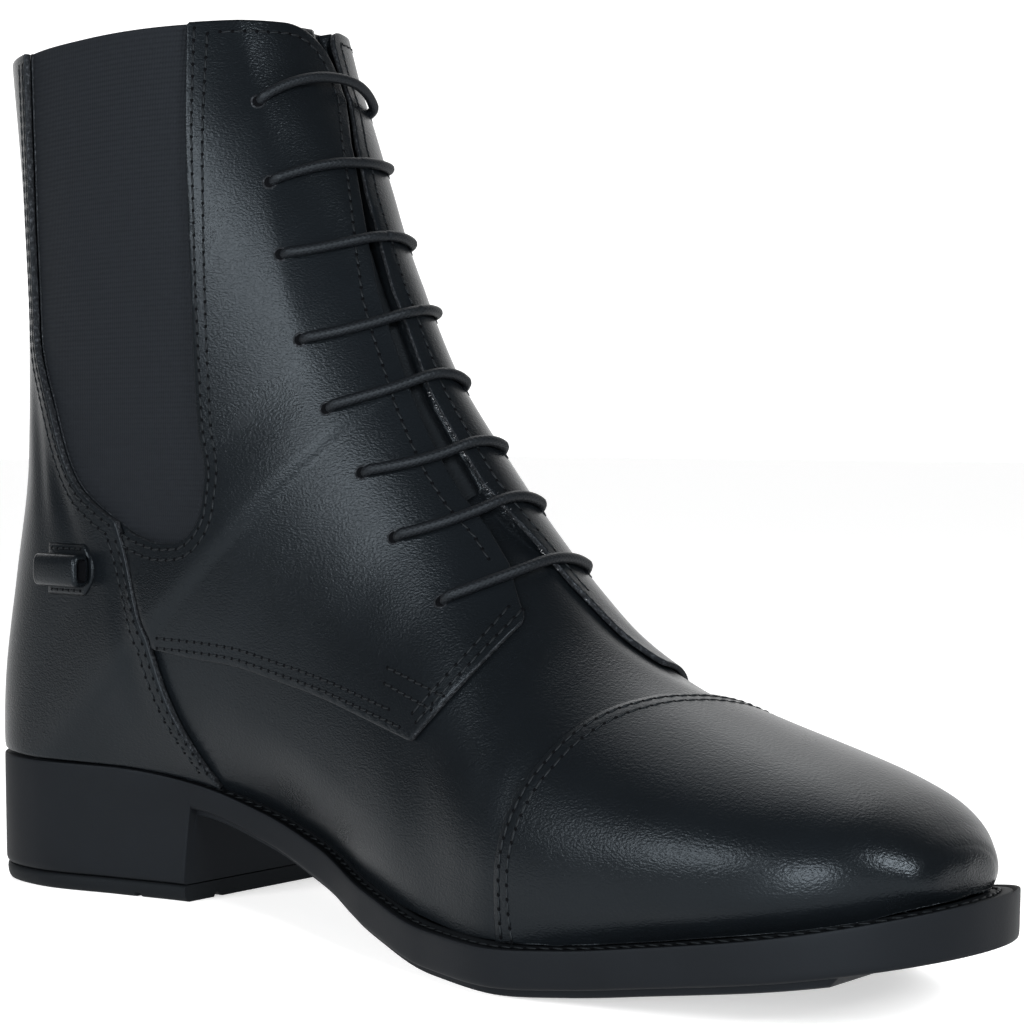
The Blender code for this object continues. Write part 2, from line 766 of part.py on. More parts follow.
def make_counter(material, windows):
    mesh = upper_blank(GAP, GAP + COUNTER_LEATHER, "counter", COUNTER_FIRST)
    counter = place_object("counter", mesh, material)
    behind = [(-CUTTER_REACH, CUTTER_TOP), (-CUTTER_REACH, COUNTER_FRONT[0][1])]
    outline = list(COUNTER_FRONT) + [(STRIP_FRONT, CUTTER_TOP)] + behind
    reach = (-CUTTER_REACH, CUTTER_REACH)
    panel = prism("counter_cutter", outline, lambda x, z, far: (x, reach[far], z))
    cut(counter, panel, "INTERSECT")
    for window in windows:
        cut(counter, window, "DIFFERENCE")


def make_toe_cap(material):
    cap = place_object("toe_cap", upper_blank(GAP, GAP + LEATHER, "toe_cap", last=CAP_LAST), material)
    ahead = LENGTH + CUTTER_START
    outline = list(CAP_SEAM) + [(ahead, CAP_SEAM[-1][1]), (ahead, CAP_SEAM[0][1])]
    front = prism("cap_cutter", outline, lambda x, y, far: (x, y, CUTTER_TOP if far else -CUTTER_START))
    cut(cap, front, "INTERSECT")


def make_tongue(material):
    s_values = np.linspace(TONGUE_START, TONGUE_END, TONGUE_ROWS)
    t_values = np.linspace(-TONGUE_REACH, TONGUE_REACH, TONGUE_COLUMNS)
    under = UPPER_WALL + TONGUE_UNDER
    mesh = upper_patch(s_values, t_values, -under - TONGUE_THICKNESS, -under, "tongue")
    place_object("tongue", mesh, material)


def make_lace_bars(material):
    radius = LACE_DIAMETER / 2.0
    lift = GAP + LEATHER + GAP + radius
    for number, (s_inner, t_inner, s_outer, t_outer, middle) in enumerate(LACE_BARS, start=1):
        curve = bpy.data.curves.new("lace_bar_%d" % number, "CURVE")
        curve.dimensions = "3D"
        curve.bevel_depth = radius * MM
        curve.bevel_resolution = 1
        curve.use_fill_caps = True
        spline = curve.splines.new("POLY")
        spline.points.add(LACE_POINTS - 1)
        across = np.linspace(-1.0, 1.0, LACE_POINTS)
        t_values = np.linspace(t_inner, t_outer, LACE_POINTS)
        s_values = middle + (np.where(across < 0.0, s_inner, s_outer) - middle) * across ** 2
        places = upper_offset(s_values, t_values, lift)
        for point, place in zip(spline.points, places):
            point.co = (*(Vector((float(c) for c in place)) * MM), 1.0)
        curve.materials.append(material)
        bar = bpy.data.objects.new("lace_bar_%d" % number, curve)
        bpy.context.scene.collection.objects.link(bar)
        bar.parent = BOOT


def make_spur_rests(material):
    """Short round-ended bars, one on each side of the counter."""
    half_height = SPUR_REST["height"] / 2.0
    straight = SPUR_REST["length"] / 2.0 - half_height
    turns = np.linspace(0.0, 2.0 * math.pi, SPUR_REST["points"], endpoint=False)
    ends = np.where(np.cos(turns) >= 0.0, straight, -straight)
    base = GAP + COUNTER_LEATHER + GAP + SPUR_REST["stand_off"]
    round_edge = SPUR_REST["round_edge"]
    face = base + SPUR_REST["depth"]
    levels = ((base, 0.0), (face - round_edge, 0.0), (face, round_edge))
    for side, word in ((-1, "inner"), (1, "outer")):
        s = np.array(SPUR_REST["s"])
        t = np.array(side * SPUR_REST["t"])
        out = upper_normal(s, t)
        along = np.cross((0.0, 0.0, 1.0), out)
        along /= np.linalg.norm(along)
        up = np.cross(out, along)
        rings = []
        for lift, inset in levels:
            middle = upper_surface(s, t) + out * lift
            radius = half_height - inset
            rings.append([
                middle + along * (end + radius * math.cos(turn)) + up * radius * math.sin(turn)
                for end, turn in zip(ends, turns)
            ])
        place_object("spur_rest_" + word, loft(rings, "spur_rest_" + word), material)


def centre_on_floor():
    """Moves the boot so that the middle of its box lies over the origin."""
    graph = bpy.context.evaluated_depsgraph_get()
    low = [math.inf, math.inf]
    high = [-math.inf, -math.inf]
    for item in bpy.data.objects:
        if item.type == "EMPTY" or item.hide_render:
            continue
        mesh = item.evaluated_get(graph).to_mesh()
        for vert in mesh.vertices:
            for axis in (0, 1):
                low[axis] = min(low[axis], vert.co[axis])
                high[axis] = max(high[axis], vert.co[axis])
        item.evaluated_get(graph).to_mesh_clear()
    BOOT.location.x = -(low[0] + high[0]) / 2.0
    BOOT.location.y = -(low[1] + high[1]) / 2.0


for old in list(bpy.data.objects):
    bpy.data.objects.remove(old, do_unlink=True)

BOOT = bpy.data.objects.new("boot", None)
bpy.context.scene.collection.objects.link(BOOT)

make_outsole(new_material("moulded_rubber", BLACK_RUBBER, 0.6))
make_top_lift(new_material("top_lift_rubber", BLACK_RUBBER, 0.65))
make_welt(new_material("welt_rubber", BLACK_RUBBER, 0.6))
make_insole(new_material("insole_board", TAN_BOARD, 0.8))
LEATHER_SKIN = new_material("smooth_leather", BLACK_LEATHER, 0.35)
WINDOWS = make_gores(new_material("elastic_webbing", BLACK_WEBBING, 0.75))
make_quarters(LEATHER_SKIN, WINDOWS)
make_upper(LEATHER_SKIN, WINDOWS)
make_counter(LEATHER_SKIN, WINDOWS)
make_toe_cap(LEATHER_SKIN)
make_tongue(new_material("tongue_leather", BLACK_LEATHER, 0.45))
make_lace_bars(new_material("elastic_cord", BLACK_CORD, 0.7))
make_spur_rests(new_material("spur_rest_leather", BLACK_LEATHER, 0.4))
centre_on_floor()
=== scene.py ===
# %% [markdown]
# A left jodhpur boot: a low riding boot with a laced front, elastic gores in the sides, a toe cap
# and a moulded rubber sole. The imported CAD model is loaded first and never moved. Every piece below
# is drawn over the same last, in the same frame. The main pieces stand for its solids, and stitching,
# eyelets, tabs and fluff are added to them.

# %% The frame
import math

import bmesh
import bpy
import numpy as np
from mathutils import Matrix, Vector

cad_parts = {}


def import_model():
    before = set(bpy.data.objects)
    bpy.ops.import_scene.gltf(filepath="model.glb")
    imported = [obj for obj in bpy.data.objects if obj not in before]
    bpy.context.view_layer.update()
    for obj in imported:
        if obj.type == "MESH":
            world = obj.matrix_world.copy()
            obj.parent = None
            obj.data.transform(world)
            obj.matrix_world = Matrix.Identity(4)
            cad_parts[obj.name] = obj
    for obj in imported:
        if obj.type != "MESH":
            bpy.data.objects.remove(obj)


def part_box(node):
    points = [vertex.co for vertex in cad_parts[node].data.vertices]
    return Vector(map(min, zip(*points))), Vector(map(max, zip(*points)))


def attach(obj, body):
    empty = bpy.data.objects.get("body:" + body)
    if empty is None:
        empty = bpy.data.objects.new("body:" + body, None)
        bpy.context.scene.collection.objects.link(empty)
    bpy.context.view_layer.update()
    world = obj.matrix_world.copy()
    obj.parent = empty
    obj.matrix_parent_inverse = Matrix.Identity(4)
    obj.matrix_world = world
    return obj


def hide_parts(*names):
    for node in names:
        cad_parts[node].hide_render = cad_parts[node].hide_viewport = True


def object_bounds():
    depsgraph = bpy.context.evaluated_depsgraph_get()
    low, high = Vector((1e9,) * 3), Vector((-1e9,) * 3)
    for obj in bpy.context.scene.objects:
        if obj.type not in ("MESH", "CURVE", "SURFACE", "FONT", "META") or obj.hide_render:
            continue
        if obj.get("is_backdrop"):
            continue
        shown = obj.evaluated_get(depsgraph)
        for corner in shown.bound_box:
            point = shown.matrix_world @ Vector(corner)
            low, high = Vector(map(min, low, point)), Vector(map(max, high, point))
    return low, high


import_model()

MM = 0.001
cad_low, cad_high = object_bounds()
print("CAD box, mm:", [round(side / MM, 1) for side in cad_high - cad_low])

# %% [markdown]
# The sizes in this lesson are millimetres in the boot's own frame: X from the back of the heel to
# the toe, Y to the outer side, Z up. The frame has the middle of the boot over its origin, so the
# shift between the two is read from the box of the outsole, which starts 0.4 mm from the heel.

# %% Shift from the boot's own sizes to the frame
SOLE_TIP = 0.4
SOLE_MIDDLE = -2.5
sole_low, sole_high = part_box("outsole")
SHIFT = np.array([
    sole_low.x / MM - SOLE_TIP,
    (sole_low.y + sole_high.y) / 2.0 / MM - SOLE_MIDDLE,
    0.0,
])
print("shift, mm:", SHIFT.round(2))

# %% [markdown]
# The camera stands in front of the boot on its inner side, a little over half a metre away and just
# above the instep. The view is square, so one lens value sets both its width and its height.

# %% Camera
CAMERA_AZIMUTH = math.radians(41.8)
CAMERA_DISTANCE = 549.0
CAMERA_HEIGHT = 115.4
CAMERA_YAW = math.radians(-1.05)
CAMERA_PITCH = math.radians(2.11)
PICTURE = 1024
FOCAL_PIXELS = 2409.0
SENSOR = 36.0
CAMERA_TARGET = np.array([140.0, 0.0, 0.0])


def to_frame(points):
    """Boot sizes in millimetres to the frame's metres."""
    return (np.asarray(points, dtype=float) + SHIFT) * MM


stand = CAMERA_TARGET + np.array([
    math.sin(CAMERA_AZIMUTH) * CAMERA_DISTANCE,
    -math.cos(CAMERA_AZIMUTH) * CAMERA_DISTANCE,
    CAMERA_HEIGHT,
])
heading = CAMERA_AZIMUTH + CAMERA_YAW
look = Vector((
    -math.sin(heading) * math.cos(CAMERA_PITCH),
    math.cos(heading) * math.cos(CAMERA_PITCH),
    -math.sin(CAMERA_PITCH),
))
camera = bpy.data.objects.new("camera", bpy.data.cameras.new("camera"))
bpy.context.scene.collection.objects.link(camera)
camera.data.sensor_width = SENSOR
camera.data.lens = SENSOR * FOCAL_PIXELS / PICTURE
camera.location = to_frame(stand)
camera.rotation_mode = "QUATERNION"
camera.rotation_quaternion = look.to_track_quat("-Z", "Y")
bpy.context.scene.camera = camera
print("camera at", [round(c, 3) for c in camera.location], "lens", round(camera.data.lens, 2))

# %% [markdown]
# The sole is given as a maker's card gives it: at stations from the heel to the toe, a centre line, a
# half width and the heights of its rim and its underside. A smooth curve goes through the stations.
# The upper's lower edge follows the same curve, so sole and upper can't drift apart.

# %% Sizes of the sole
LENGTH = 280.0
GAP = 0.3
SOLE_OUTLINE = np.array([
    # station, centre line, half width
    (0.0, 0.4, 34.0), (26.0, -0.6, 34.5), (50.0, 1.6, 31.2), (72.0, 3.5, 28.0), (95.0, 4.0, 26.5),
    (115.0, 3.0, 28.5), (140.0, 1.0, 36.5), (165.0, -0.5, 43.5), (188.0, -2.5, 46.5),
    (212.0, -2.5, 43.5), (236.0, -3.5, 39.0), (258.0, -5.5, 35.0), (280.0, -7.0, 31.5),
])
SOLE_HEIGHT = np.array([
    # station, rim, underside
    (0.0, 32.0, 22.0), (50.0, 31.5, 22.0), (74.0, 29.0, 20.8), (95.0, 24.3, 15.6),
    (120.0, 18.4, 8.7), (145.0, 13.0, 3.0), (168.0, 10.0, 0.0), (186.0, 10.0, 0.0),
    (205.0, 11.5, 1.6), (225.0, 14.5, 4.5), (250.0, 19.0, 8.5), (280.0, 25.8, 14.2),
])
HEEL_END = (27.0, 3.0)
TOE_END = (44.0, 2.4)
WELT_WIDTH = np.array([(0.0, 2.0), (60.0, 2.5), (100.0, 4.0), (150.0, 5.5), (280.0, 5.5)])
FEATHER_HEEL = 1.2
FEATHER_TOE = 273.0


def smooth(stations, values, where):
    """Cubic curve through the values that keeps each rise and fall where the table has it."""
    step = np.diff(stations)
    rise = np.diff(values) / step
    slope = np.zeros(len(values))
    for i in range(1, len(values) - 1):
        if rise[i - 1] * rise[i] > 0.0:
            before = 2.0 * step[i] + step[i - 1]
            after = step[i] + 2.0 * step[i - 1]
            slope[i] = (before + after) / (before / rise[i - 1] + after / rise[i])
    slope[0] = rise[0]
    slope[-1] = rise[-1]
    where = np.asarray(where, dtype=float)
    span = np.clip(np.searchsorted(stations, where, side="right") - 1, 0, len(step) - 1)
    inside = np.clip(where, stations[0], stations[-1])
    u = (inside - stations[span]) / step[span]
    cubic = (
        values[span] * (1 + 2 * u) * (1 - u) ** 2
        + slope[span] * step[span] * u * (1 - u) ** 2
        + values[span + 1] * u * u * (3 - 2 * u)
        + slope[span + 1] * step[span] * u * u * (u - 1)
    )
    return cubic + np.where(where > stations[-1], slope[-1] * (where - stations[-1]), 0.0)


def along_sole(table, index, x):
    return smooth(table[:, 0], table[:, index], np.clip(x, 0.0, LENGTH))


def round_end(gone, end):
    """Half width of a rounded end, 1 where it begins and 0 at its tip."""
    length, power = end
    return (1.0 - np.clip(gone / length, 0.0, 1.0) ** power) ** (1.0 / power)


def sole_half(x, inset=0.0, heel=True):
    half = (along_sole(SOLE_OUTLINE, 2, x) - inset) * round_end(x - LENGTH + TOE_END[0], TOE_END)
    return half * (round_end(HEEL_END[0] - x, HEEL_END) if heel else 1.0)


def sole_centre(x):
    return along_sole(SOLE_OUTLINE, 1, x)


def sole_rim(x):
    return along_sole(SOLE_HEIGHT, 1, x)


def feather_half(x, inset=0.0, heel=True):
    """Half width of the upper's lower edge, which follows the sole inside the welt."""
    along = np.clip((x - FEATHER_HEEL) / (FEATHER_TOE - FEATHER_HEEL), 0.0, 1.0) * LENGTH
    ledge = np.interp(x, WELT_WIDTH[:, 0], WELT_WIDTH[:, 1])
    return np.maximum(sole_half(along, ledge + inset, heel), 0.0)


print("sole", LENGTH, "mm long,", round(2.0 * float(SOLE_OUTLINE[:, 2].max()), 1), "mm wide")

# %% [markdown]
# A boot takes its shape from a last, the solid foot form that the leather is pulled over. Here the
# last is a function: s runs from the toe (0) over the instep to the collar (1), and t runs round each
# section from the inner side (-1) over the ridge (0) to the outer side (1). One function for all the
# panels keeps them lying exactly on each other, which separate sculpted pieces would not do.

# %% Sizes of the last
UPPER_SECTIONS = np.array([
    # front x, front z, ridge y, lower x, lower z, inner half, outer half, widest at, front power
    (273.0, 30.3, -8.0, 273.0, 25.6, 0.0, 0.0, 0.60, 2.00),
    (271.6, 34.0, -8.0, 271.6, 25.0, 12.0, 12.0, 0.60, 2.10),
    (267.8, 37.4, -7.5, 267.8, 23.9, 18.0, 18.0, 0.60, 2.30),
    (261.0, 41.2, -7.0, 261.0, 21.6, 25.0, 25.0, 0.65, 2.40),
    (249.5, 45.2, -6.2, 249.5, 19.3, 32.0, 32.0, 0.70, 2.30),
    (235.0, 49.0, -5.0, 235.0, 16.7, 37.0, 37.0, 0.72, 2.20),
    (217.0, 53.8, -4.0, 217.0, 13.6, 40.0, 40.5, 0.74, 2.10),
    (198.0, 60.2, -3.2, 198.0, 11.1, 41.2, 42.0, 0.76, 2.00),
    (182.0, 69.2, -3.0, 176.0, 10.3, 40.5, 42.0, 0.78, 1.95),
    (169.0, 81.3, -3.0, 150.0, 12.4, 37.2, 40.0, 0.78, 1.93),
    (158.0, 94.4, -3.0, 120.0, 18.7, 33.0, 36.5, 0.76, 1.93),
    (148.0, 107.0, -3.0, 86.0, 26.6, 31.5, 35.0, 0.74, 1.95),
    (138.0, 119.6, -3.0, 50.0, 31.8, 31.5, 35.0, 0.72, 1.98),
    (130.5, 130.0, -2.8, 19.5, 32.6, 31.5, 35.0, 0.70, 2.00),
    (123.5, 141.0, -2.4, 1.2, 33.0, 31.5, 34.8, 0.68, 2.03),
    (117.0, 151.0, -1.8, -1.6, 51.0, 31.5, 34.6, 0.66, 2.06),
    (110.5, 162.0, -1.0, 0.8, 78.0, 31.8, 34.0, 0.62, 2.08),
    (104.5, 173.0, 0.0, 4.0, 107.0, 32.0, 33.3, 0.58, 2.10),
    (98.0, 184.5, 0.8, 4.2, 137.0, 32.5, 32.5, 0.54, 2.15),
    (91.5, 197.0, 1.0, 2.4, 169.0, 33.0, 32.5, 0.51, 2.20),
    (86.5, 210.5, 1.0, -2.4, 206.0, 33.0, 32.5, 0.48, 2.20),
])
FRONT_X, FRONT_Z, RIDGE_Y, LOW_X, LOW_Z, INNER, OUTER, WIDEST, POWER = range(9)
SECTION_ROWS = np.linspace(0.0, 1.0, len(UPPER_SECTIONS))
HEEL_SECTION = 14
HEEL_S = SECTION_ROWS[HEEL_SECTION]
BACK_ROUNDING = np.array([
    # height, length of the round end in plan, its power
    (32.0, 27.0, 2.9), (55.0, 31.0, 2.6), (107.0, 38.0, 2.3), (206.0, 42.0, 2.25),
])
LOWER_ROLL = math.radians(60.0)
ROLL_FADE = 0.1
WIDEST_T = 0.55
NORMAL_STEP = 0.002
BACK_SEAM_POINTS = 121
BACK_SEAM_S = np.linspace(HEEL_S, 1.0, BACK_SEAM_POINTS)
BACK_SEAM = [smooth(SECTION_ROWS, UPPER_SECTIONS[:, i], BACK_SEAM_S) for i in (LOW_X, LOW_Z)]


def section(index, s):
    return smooth(SECTION_ROWS, UPPER_SECTIONS[:, index], s)


def back_rounding(x, z):
    """1 along the sides, falling to 0 round the back of the heel and shaft at this height."""
    seam = np.interp(z, BACK_SEAM[1], BACK_SEAM[0])
    length, power = [smooth(BACK_ROUNDING[:, 0], BACK_ROUNDING[:, i], z) for i in (1, 2)]
    return round_end(seam + length - x, (length, power))


def last_surface(s, t):
    """Point of the last at section s and place t round the section."""
    blunt = np.where(s < SECTION_ROWS[1], s * np.maximum(s, 0.0) / SECTION_ROWS[1], s)
    front_x, low_x = section(FRONT_X, blunt), section(LOW_X, blunt)
    front_z, ridge_y, low_z, inner, outer, widest, power = [
        section(i, s) for i in (FRONT_Z, RIDGE_Y, LOW_Z, INNER, OUTER, WIDEST, POWER)
    ]
    edge = feather_half(low_x, heel=False)
    width = np.maximum(np.where(t < 0.0, inner, outer), edge)
    tuck = (width - edge) * np.clip(1.0 - (s - HEEL_S) / ROLL_FADE, 0.0, 1.0)
    v = np.abs(t)
    front = np.clip(v / WIDEST_T, 0.0, 1.0) * math.pi / 2.0
    lower = np.sin(np.clip((v - WIDEST_T) / (1.0 - WIDEST_T), 0.0, 1.0) * math.pi / 2.0)
    roll = (1.0 - np.cos(lower * LOWER_ROLL)) / (1.0 - math.cos(LOWER_ROLL))
    ahead = v <= WIDEST_T
    fall = widest * (1.0 - np.cos(front) ** (2.0 / power))
    along = np.where(ahead, fall, widest + (1.0 - widest) * lower)
    side = np.where(ahead, width * np.sin(front) ** (2.0 / power), width - tuck * roll)
    x = front_x + (low_x - front_x) * along
    z = front_z + (low_z - front_z) * along
    middle = ridge_y + (sole_centre(low_x) - ridge_y) * along
    return np.stack([x, middle + np.sign(t) * side * back_rounding(x, z), z], axis=-1)


def last_normal(s, t):
    """Direction out of the leather, kept level where the wall turns under."""
    s_in = np.clip(s, 2.0 * NORMAL_STEP, 1.0)
    t_in = np.clip(t, -1.0 + 2.0 * NORMAL_STEP, 1.0 - 2.0 * NORMAL_STEP)
    across = last_surface(s_in, t_in + NORMAL_STEP) - last_surface(s_in, t_in - NORMAL_STEP)
    forward = last_surface(s_in + NORMAL_STEP, t_in) - last_surface(s_in - NORMAL_STEP, t_in)
    normal = np.cross(across, forward)
    normal[..., 2] = np.maximum(normal[..., 2], 0.0)
    return normal / np.linalg.norm(normal, axis=-1, keepdims=True)


print("collar", round(float(section(FRONT_Z, 1.0)), 1), "mm high at the front")

# %% [markdown]
# Worn-in leather is never a perfect surface. The facings bend along the line of the eyelets, and soft
# dents lie where the leather was pulled over the last. Each dent is listed as a long shallow
# hollow with a place, a direction, a length, a width and a depth. Noise would put them anywhere, and
# sculpting could not be repeated from the script.

# %% Dents and the bend of the facings
DENTS = (
    # place, direction, half length, half width, depth
    ((24.0, -31.0, 112.0), (-0.25, 0.0, 1.0), 22.0, 3.6, 0.9),
    ((35.0, -33.0, 100.0), (-0.5, 0.0, 1.0), 20.0, 3.2, 0.8),
    ((62.0, -33.0, 62.0), (-0.2, 0.0, 1.0), 20.0, 3.0, 0.55),
    ((24.0, 33.0, 112.0), (-0.25, 0.0, 1.0), 22.0, 3.6, 0.9),
    ((35.0, 35.0, 100.0), (-0.5, 0.0, 1.0), 20.0, 3.2, 0.8),
    ((186.0, 8.0, 66.0), (0.8, 0.35, -0.35), 20.0, 6.0, 0.8),
    ((176.0, -26.0, 58.0), (0.3, -0.75, -0.6), 20.0, 8.0, 0.9),
    ((160.0, -34.0, 36.0), (0.5, -0.2, -0.85), 18.0, 9.0, 0.8),
    ((176.0, 26.0, 58.0), (0.3, 0.75, -0.6), 20.0, 8.0, 0.9),
)
FACING_LINE = np.array([
    # s, t of the bend on the inner side, t on the outer side
    (0.450, -0.262, 0.150), (0.486, -0.252, 0.122), (0.541, -0.252, 0.094), (0.588, -0.228, 0.086),
    (0.651, -0.211, 0.088), (0.723, -0.204, 0.098), (0.800, -0.203, 0.113), (0.863, -0.199, 0.132),
    (0.931, -0.180, 0.180), (1.000, -0.180, 0.180),
])
FACING_RISE = np.array([(0.45, 0.0), (0.62, 0.1), (0.74, 1.35), (0.92, 1.35), (1.0, 0.6)])
GIRTH_OF_T = 85.0
BEND_RADIUS = 1.0
BEND_REACH = 8.0
SIDE_SPAN = (0.02, 1.1)
HALVINGS = 40
CHECK_X, CHECK_Z = np.array([100.0]), np.array([90.0])


def relief(points, s, t):
    """Distance in millimetres that the leather stands over the last."""
    total = np.zeros(np.shape(s))
    for place, direction, length, width, depth in DENTS:
        axis = np.array(direction) / np.linalg.norm(direction)
        away = points - np.array(place)
        along = away @ axis
        aside = np.linalg.norm(away - along[..., None] * axis, axis=-1)
        total -= depth * np.exp(-(along / length) ** 2 - (aside / width) ** 2)
    inner, outer = [np.interp(s, FACING_LINE[:, 0], FACING_LINE[:, i]) for i in (1, 2)]
    off = np.abs(t - np.where(t < 0.0, inner, outer)) * GIRTH_OF_T
    rise = np.interp(s, FACING_RISE[:, 0], FACING_RISE[:, 1], left=0.0)
    return total + rise * np.exp(-(np.sqrt(off ** 2 + BEND_RADIUS ** 2) - BEND_RADIUS) / BEND_REACH)


def skin(s, t, offset):
    """Point at a distance outside the last, never lower than the sole that carries it."""
    s, t = np.broadcast_arrays(np.asarray(s, dtype=float), np.asarray(t, dtype=float))
    points = last_surface(s, t)
    lift = np.asarray(offset + relief(points, s, t))
    place = points + lift[..., None] * last_normal(s, t)
    place[..., 2] = np.maximum(place[..., 2], sole_rim(place[..., 0]) + GAP)
    return place


def halve(span, shape, goes_on):
    """Place in a span where a condition ends, found by halving the span again and again."""
    low, high = [np.full(shape, end) for end in span]
    for _ in range(HALVINGS):
        middle = (low + high) / 2.0
        yes = goes_on(middle)
        low, high = np.where(yes, middle, low), np.where(yes, high, middle)
    return middle


def from_side(x, z, side):
    """s and t of the place that is seen at x, z from one side (-1 inner, 1 outer)."""
    def ends(s):
        return [section(i, s) for i in (FRONT_X, FRONT_Z, LOW_X, LOW_Z)]

    def before(s):
        front_x, front_z, low_x, low_z = ends(s)
        return (low_x - front_x) * (z - front_z) - (low_z - front_z) * (x - front_x) < 0.0

    s = halve(SIDE_SPAN, np.shape(x), before)
    front_x, front_z, low_x, low_z = ends(s)
    reach = (low_x - front_x) ** 2 + (low_z - front_z) ** 2
    along = ((x - front_x) * (low_x - front_x) + (z - front_z) * (low_z - front_z)) / reach
    along = np.clip(along, 0.0, 1.0)
    widest, power = section(WIDEST, s), section(POWER, s)
    ahead = np.clip(1.0 - along / widest, 0.0, 1.0) ** (power / 2.0)
    behind = np.clip((along - widest) / (1.0 - widest), 0.0, 1.0)
    v = np.where(
        along <= widest,
        WIDEST_T * 2.0 / math.pi * np.arccos(ahead),
        WIDEST_T + (1.0 - WIDEST_T) * 2.0 / math.pi * np.arcsin(behind),
    )
    return s, side * v


print("side view round trip, mm:", last_surface(*from_side(CHECK_X, CHECK_Z, -1))[0].round(3))

# %% [markdown]
# Finishes come next, because each piece takes one as it is made. Every colour is an sRGB hex value,
# as a colour picker shows it, and one function turns it into the linear values that Blender works in.
# One more function adds a node with its settings and links. The short ones after it make what several
# finishes share: noise, a colour between two tones, a range and bump.

# %% Finishes: helpers
MIX_FACTOR, MIX_A, MIX_B, MIX_RESULT = 0, 6, 7, 2
# COOL tints every reflection blue, a painted light colour standing in for the cool cast of the light.
COOL = (0.78, 0.9, 1.0, 1.0)
SAMPLE_GREY = "#808080"


def linear(hex_colour):
    """sRGB hex value to the linear colour of a socket."""
    parts = [int(hex_colour[i:i + 2], 16) / 255.0 for i in (1, 3, 5)]
    return (*[p / 12.92 if p <= 0.04045 else ((p + 0.055) / 1.055) ** 2.4 for p in parts], 1.0)


def add_node(tree, kind, values=None, links=None, **settings):
    """Adds a node: values go to its inputs, links join other nodes' outputs to its inputs."""
    made = tree.nodes.new(kind)
    for name, value in settings.items():
        setattr(made, name, value)
    for name, value in (values or {}).items():
        made.inputs[name].default_value = value
    for name, output in (links or {}).items():
        tree.links.new(output, made.inputs[name])
    return made


def new_finish(name, **values):
    """A material with its shader; names of sockets have spaces where the keyword has lines."""
    material = bpy.data.materials.new(name)
    material.use_nodes = True
    shader = material.node_tree.nodes["Principled BSDF"]
    for key, value in values.items():
        shader.inputs[key.replace("_", " ")].default_value = value
    return material, material.node_tree, shader


def per_mm(size):
    """Texture scale for a pattern of this size in millimetres on Object coordinates."""
    return 1.0 / (size * MM)


def object_place(tree):
    return add_node(tree, "ShaderNodeTexCoord").outputs["Object"]


def noise(tree, place, size, detail, roughness=0.5):
    """Noise with patches of this size in millimetres."""
    return add_node(
        tree, "ShaderNodeTexNoise", {"Scale": per_mm(size), "Detail": detail, "Roughness": roughness},
        {"Vector": place},
    ).outputs["Fac"]


def tint(tree, factor, dark, light):
    """Colour between two hex values."""
    return add_node(
        tree, "ShaderNodeMix", {MIX_A: linear(dark), MIX_B: linear(light)}, {MIX_FACTOR: factor},
        data_type="RGBA",
    ).outputs[MIX_RESULT]


def ranged(tree, value, to=(0.0, 1.0), source=(0.0, 1.0)):
    """Value moved from one range to another."""
    return add_node(
        tree, "ShaderNodeMapRange",
        {"From Min": source[0], "From Max": source[1], "To Min": to[0], "To Max": to[1]}, {"Value": value},
    ).outputs["Result"]


def bump(tree, height, strength, depth, **links):
    """Bump of this depth in millimetres."""
    return add_node(
        tree, "ShaderNodeBump", {"Strength": strength, "Distance": depth * MM}, {"Height": height, **links},
    ).outputs["Normal"]


def dress(tree, shader, **outputs):
    """Joins outputs of nodes to the shader's sockets, named as in new_finish."""
    for key, output in outputs.items():
        tree.links.new(output, shader.inputs[key.replace("_", " ")])


print("middle grey is", round(linear(SAMPLE_GREY)[0], 4))

# %% [markdown]
# The upper is chrome-tanned cowhide, dyed black through, with a thin pressed finish. It shows as a
# soft broad gloss that breaks up on a fine grain, in the highlights most of all. The grain is bump
# from stretched noise under a millimetre wide, with finer pores in it. The tongue and the lining are
# the same idea, duller, so one function makes the three.

# %% Leathers
LEATHER_SHEEN = 0.12
CLOUD = 25.0
GRAIN_LIE = (1.0, 1.0, 1.7)
GRAIN_STRENGTH, PORE_STRENGTH = 0.8, 0.3


def leather(name, dark, light, gloss, grain, depth):
    """Dyed leather: cloudy colour, a pressed grain of this size in mm, and pores half as wide."""
    material, tree, shader = new_finish(name, Specular_IOR_Level=LEATHER_SHEEN, Specular_Tint=COOL)
    place = object_place(tree)
    cloud = noise(tree, place, CLOUD, detail=3.0)
    lie = add_node(tree, "ShaderNodeMapping", {"Scale": GRAIN_LIE}, {"Vector": place}).outputs["Vector"]
    pebble = noise(tree, lie, grain, detail=1.0)
    pore = add_node(
        tree, "ShaderNodeTexVoronoi", {"Scale": per_mm(grain / 2.0)}, {"Vector": lie},
    ).outputs["Distance"]
    pressed = bump(tree, pebble, GRAIN_STRENGTH, depth)
    dress(
        tree, shader, Base_Color=tint(tree, cloud, dark, light), Roughness=ranged(tree, cloud, to=gloss),
        Normal=bump(tree, pore, PORE_STRENGTH, depth / 2.0, Normal=pressed),
    )
    return material


smooth_cowhide = leather("smooth_cowhide", "#07090b", "#0b0e11", (0.24, 0.32), 0.7, 0.1)
tongue_cowhide = leather("tongue_cowhide", "#0a0c0e", "#0f1215", (0.45, 0.55), 0.7, 0.08)
lining_pigskin = leather("lining_pigskin", "#17181a", "#222324", (0.6, 0.72), 1.2, 0.15)
print("leathers:", smooth_cowhide.name, tongue_cowhide.name, lining_pigskin.name)
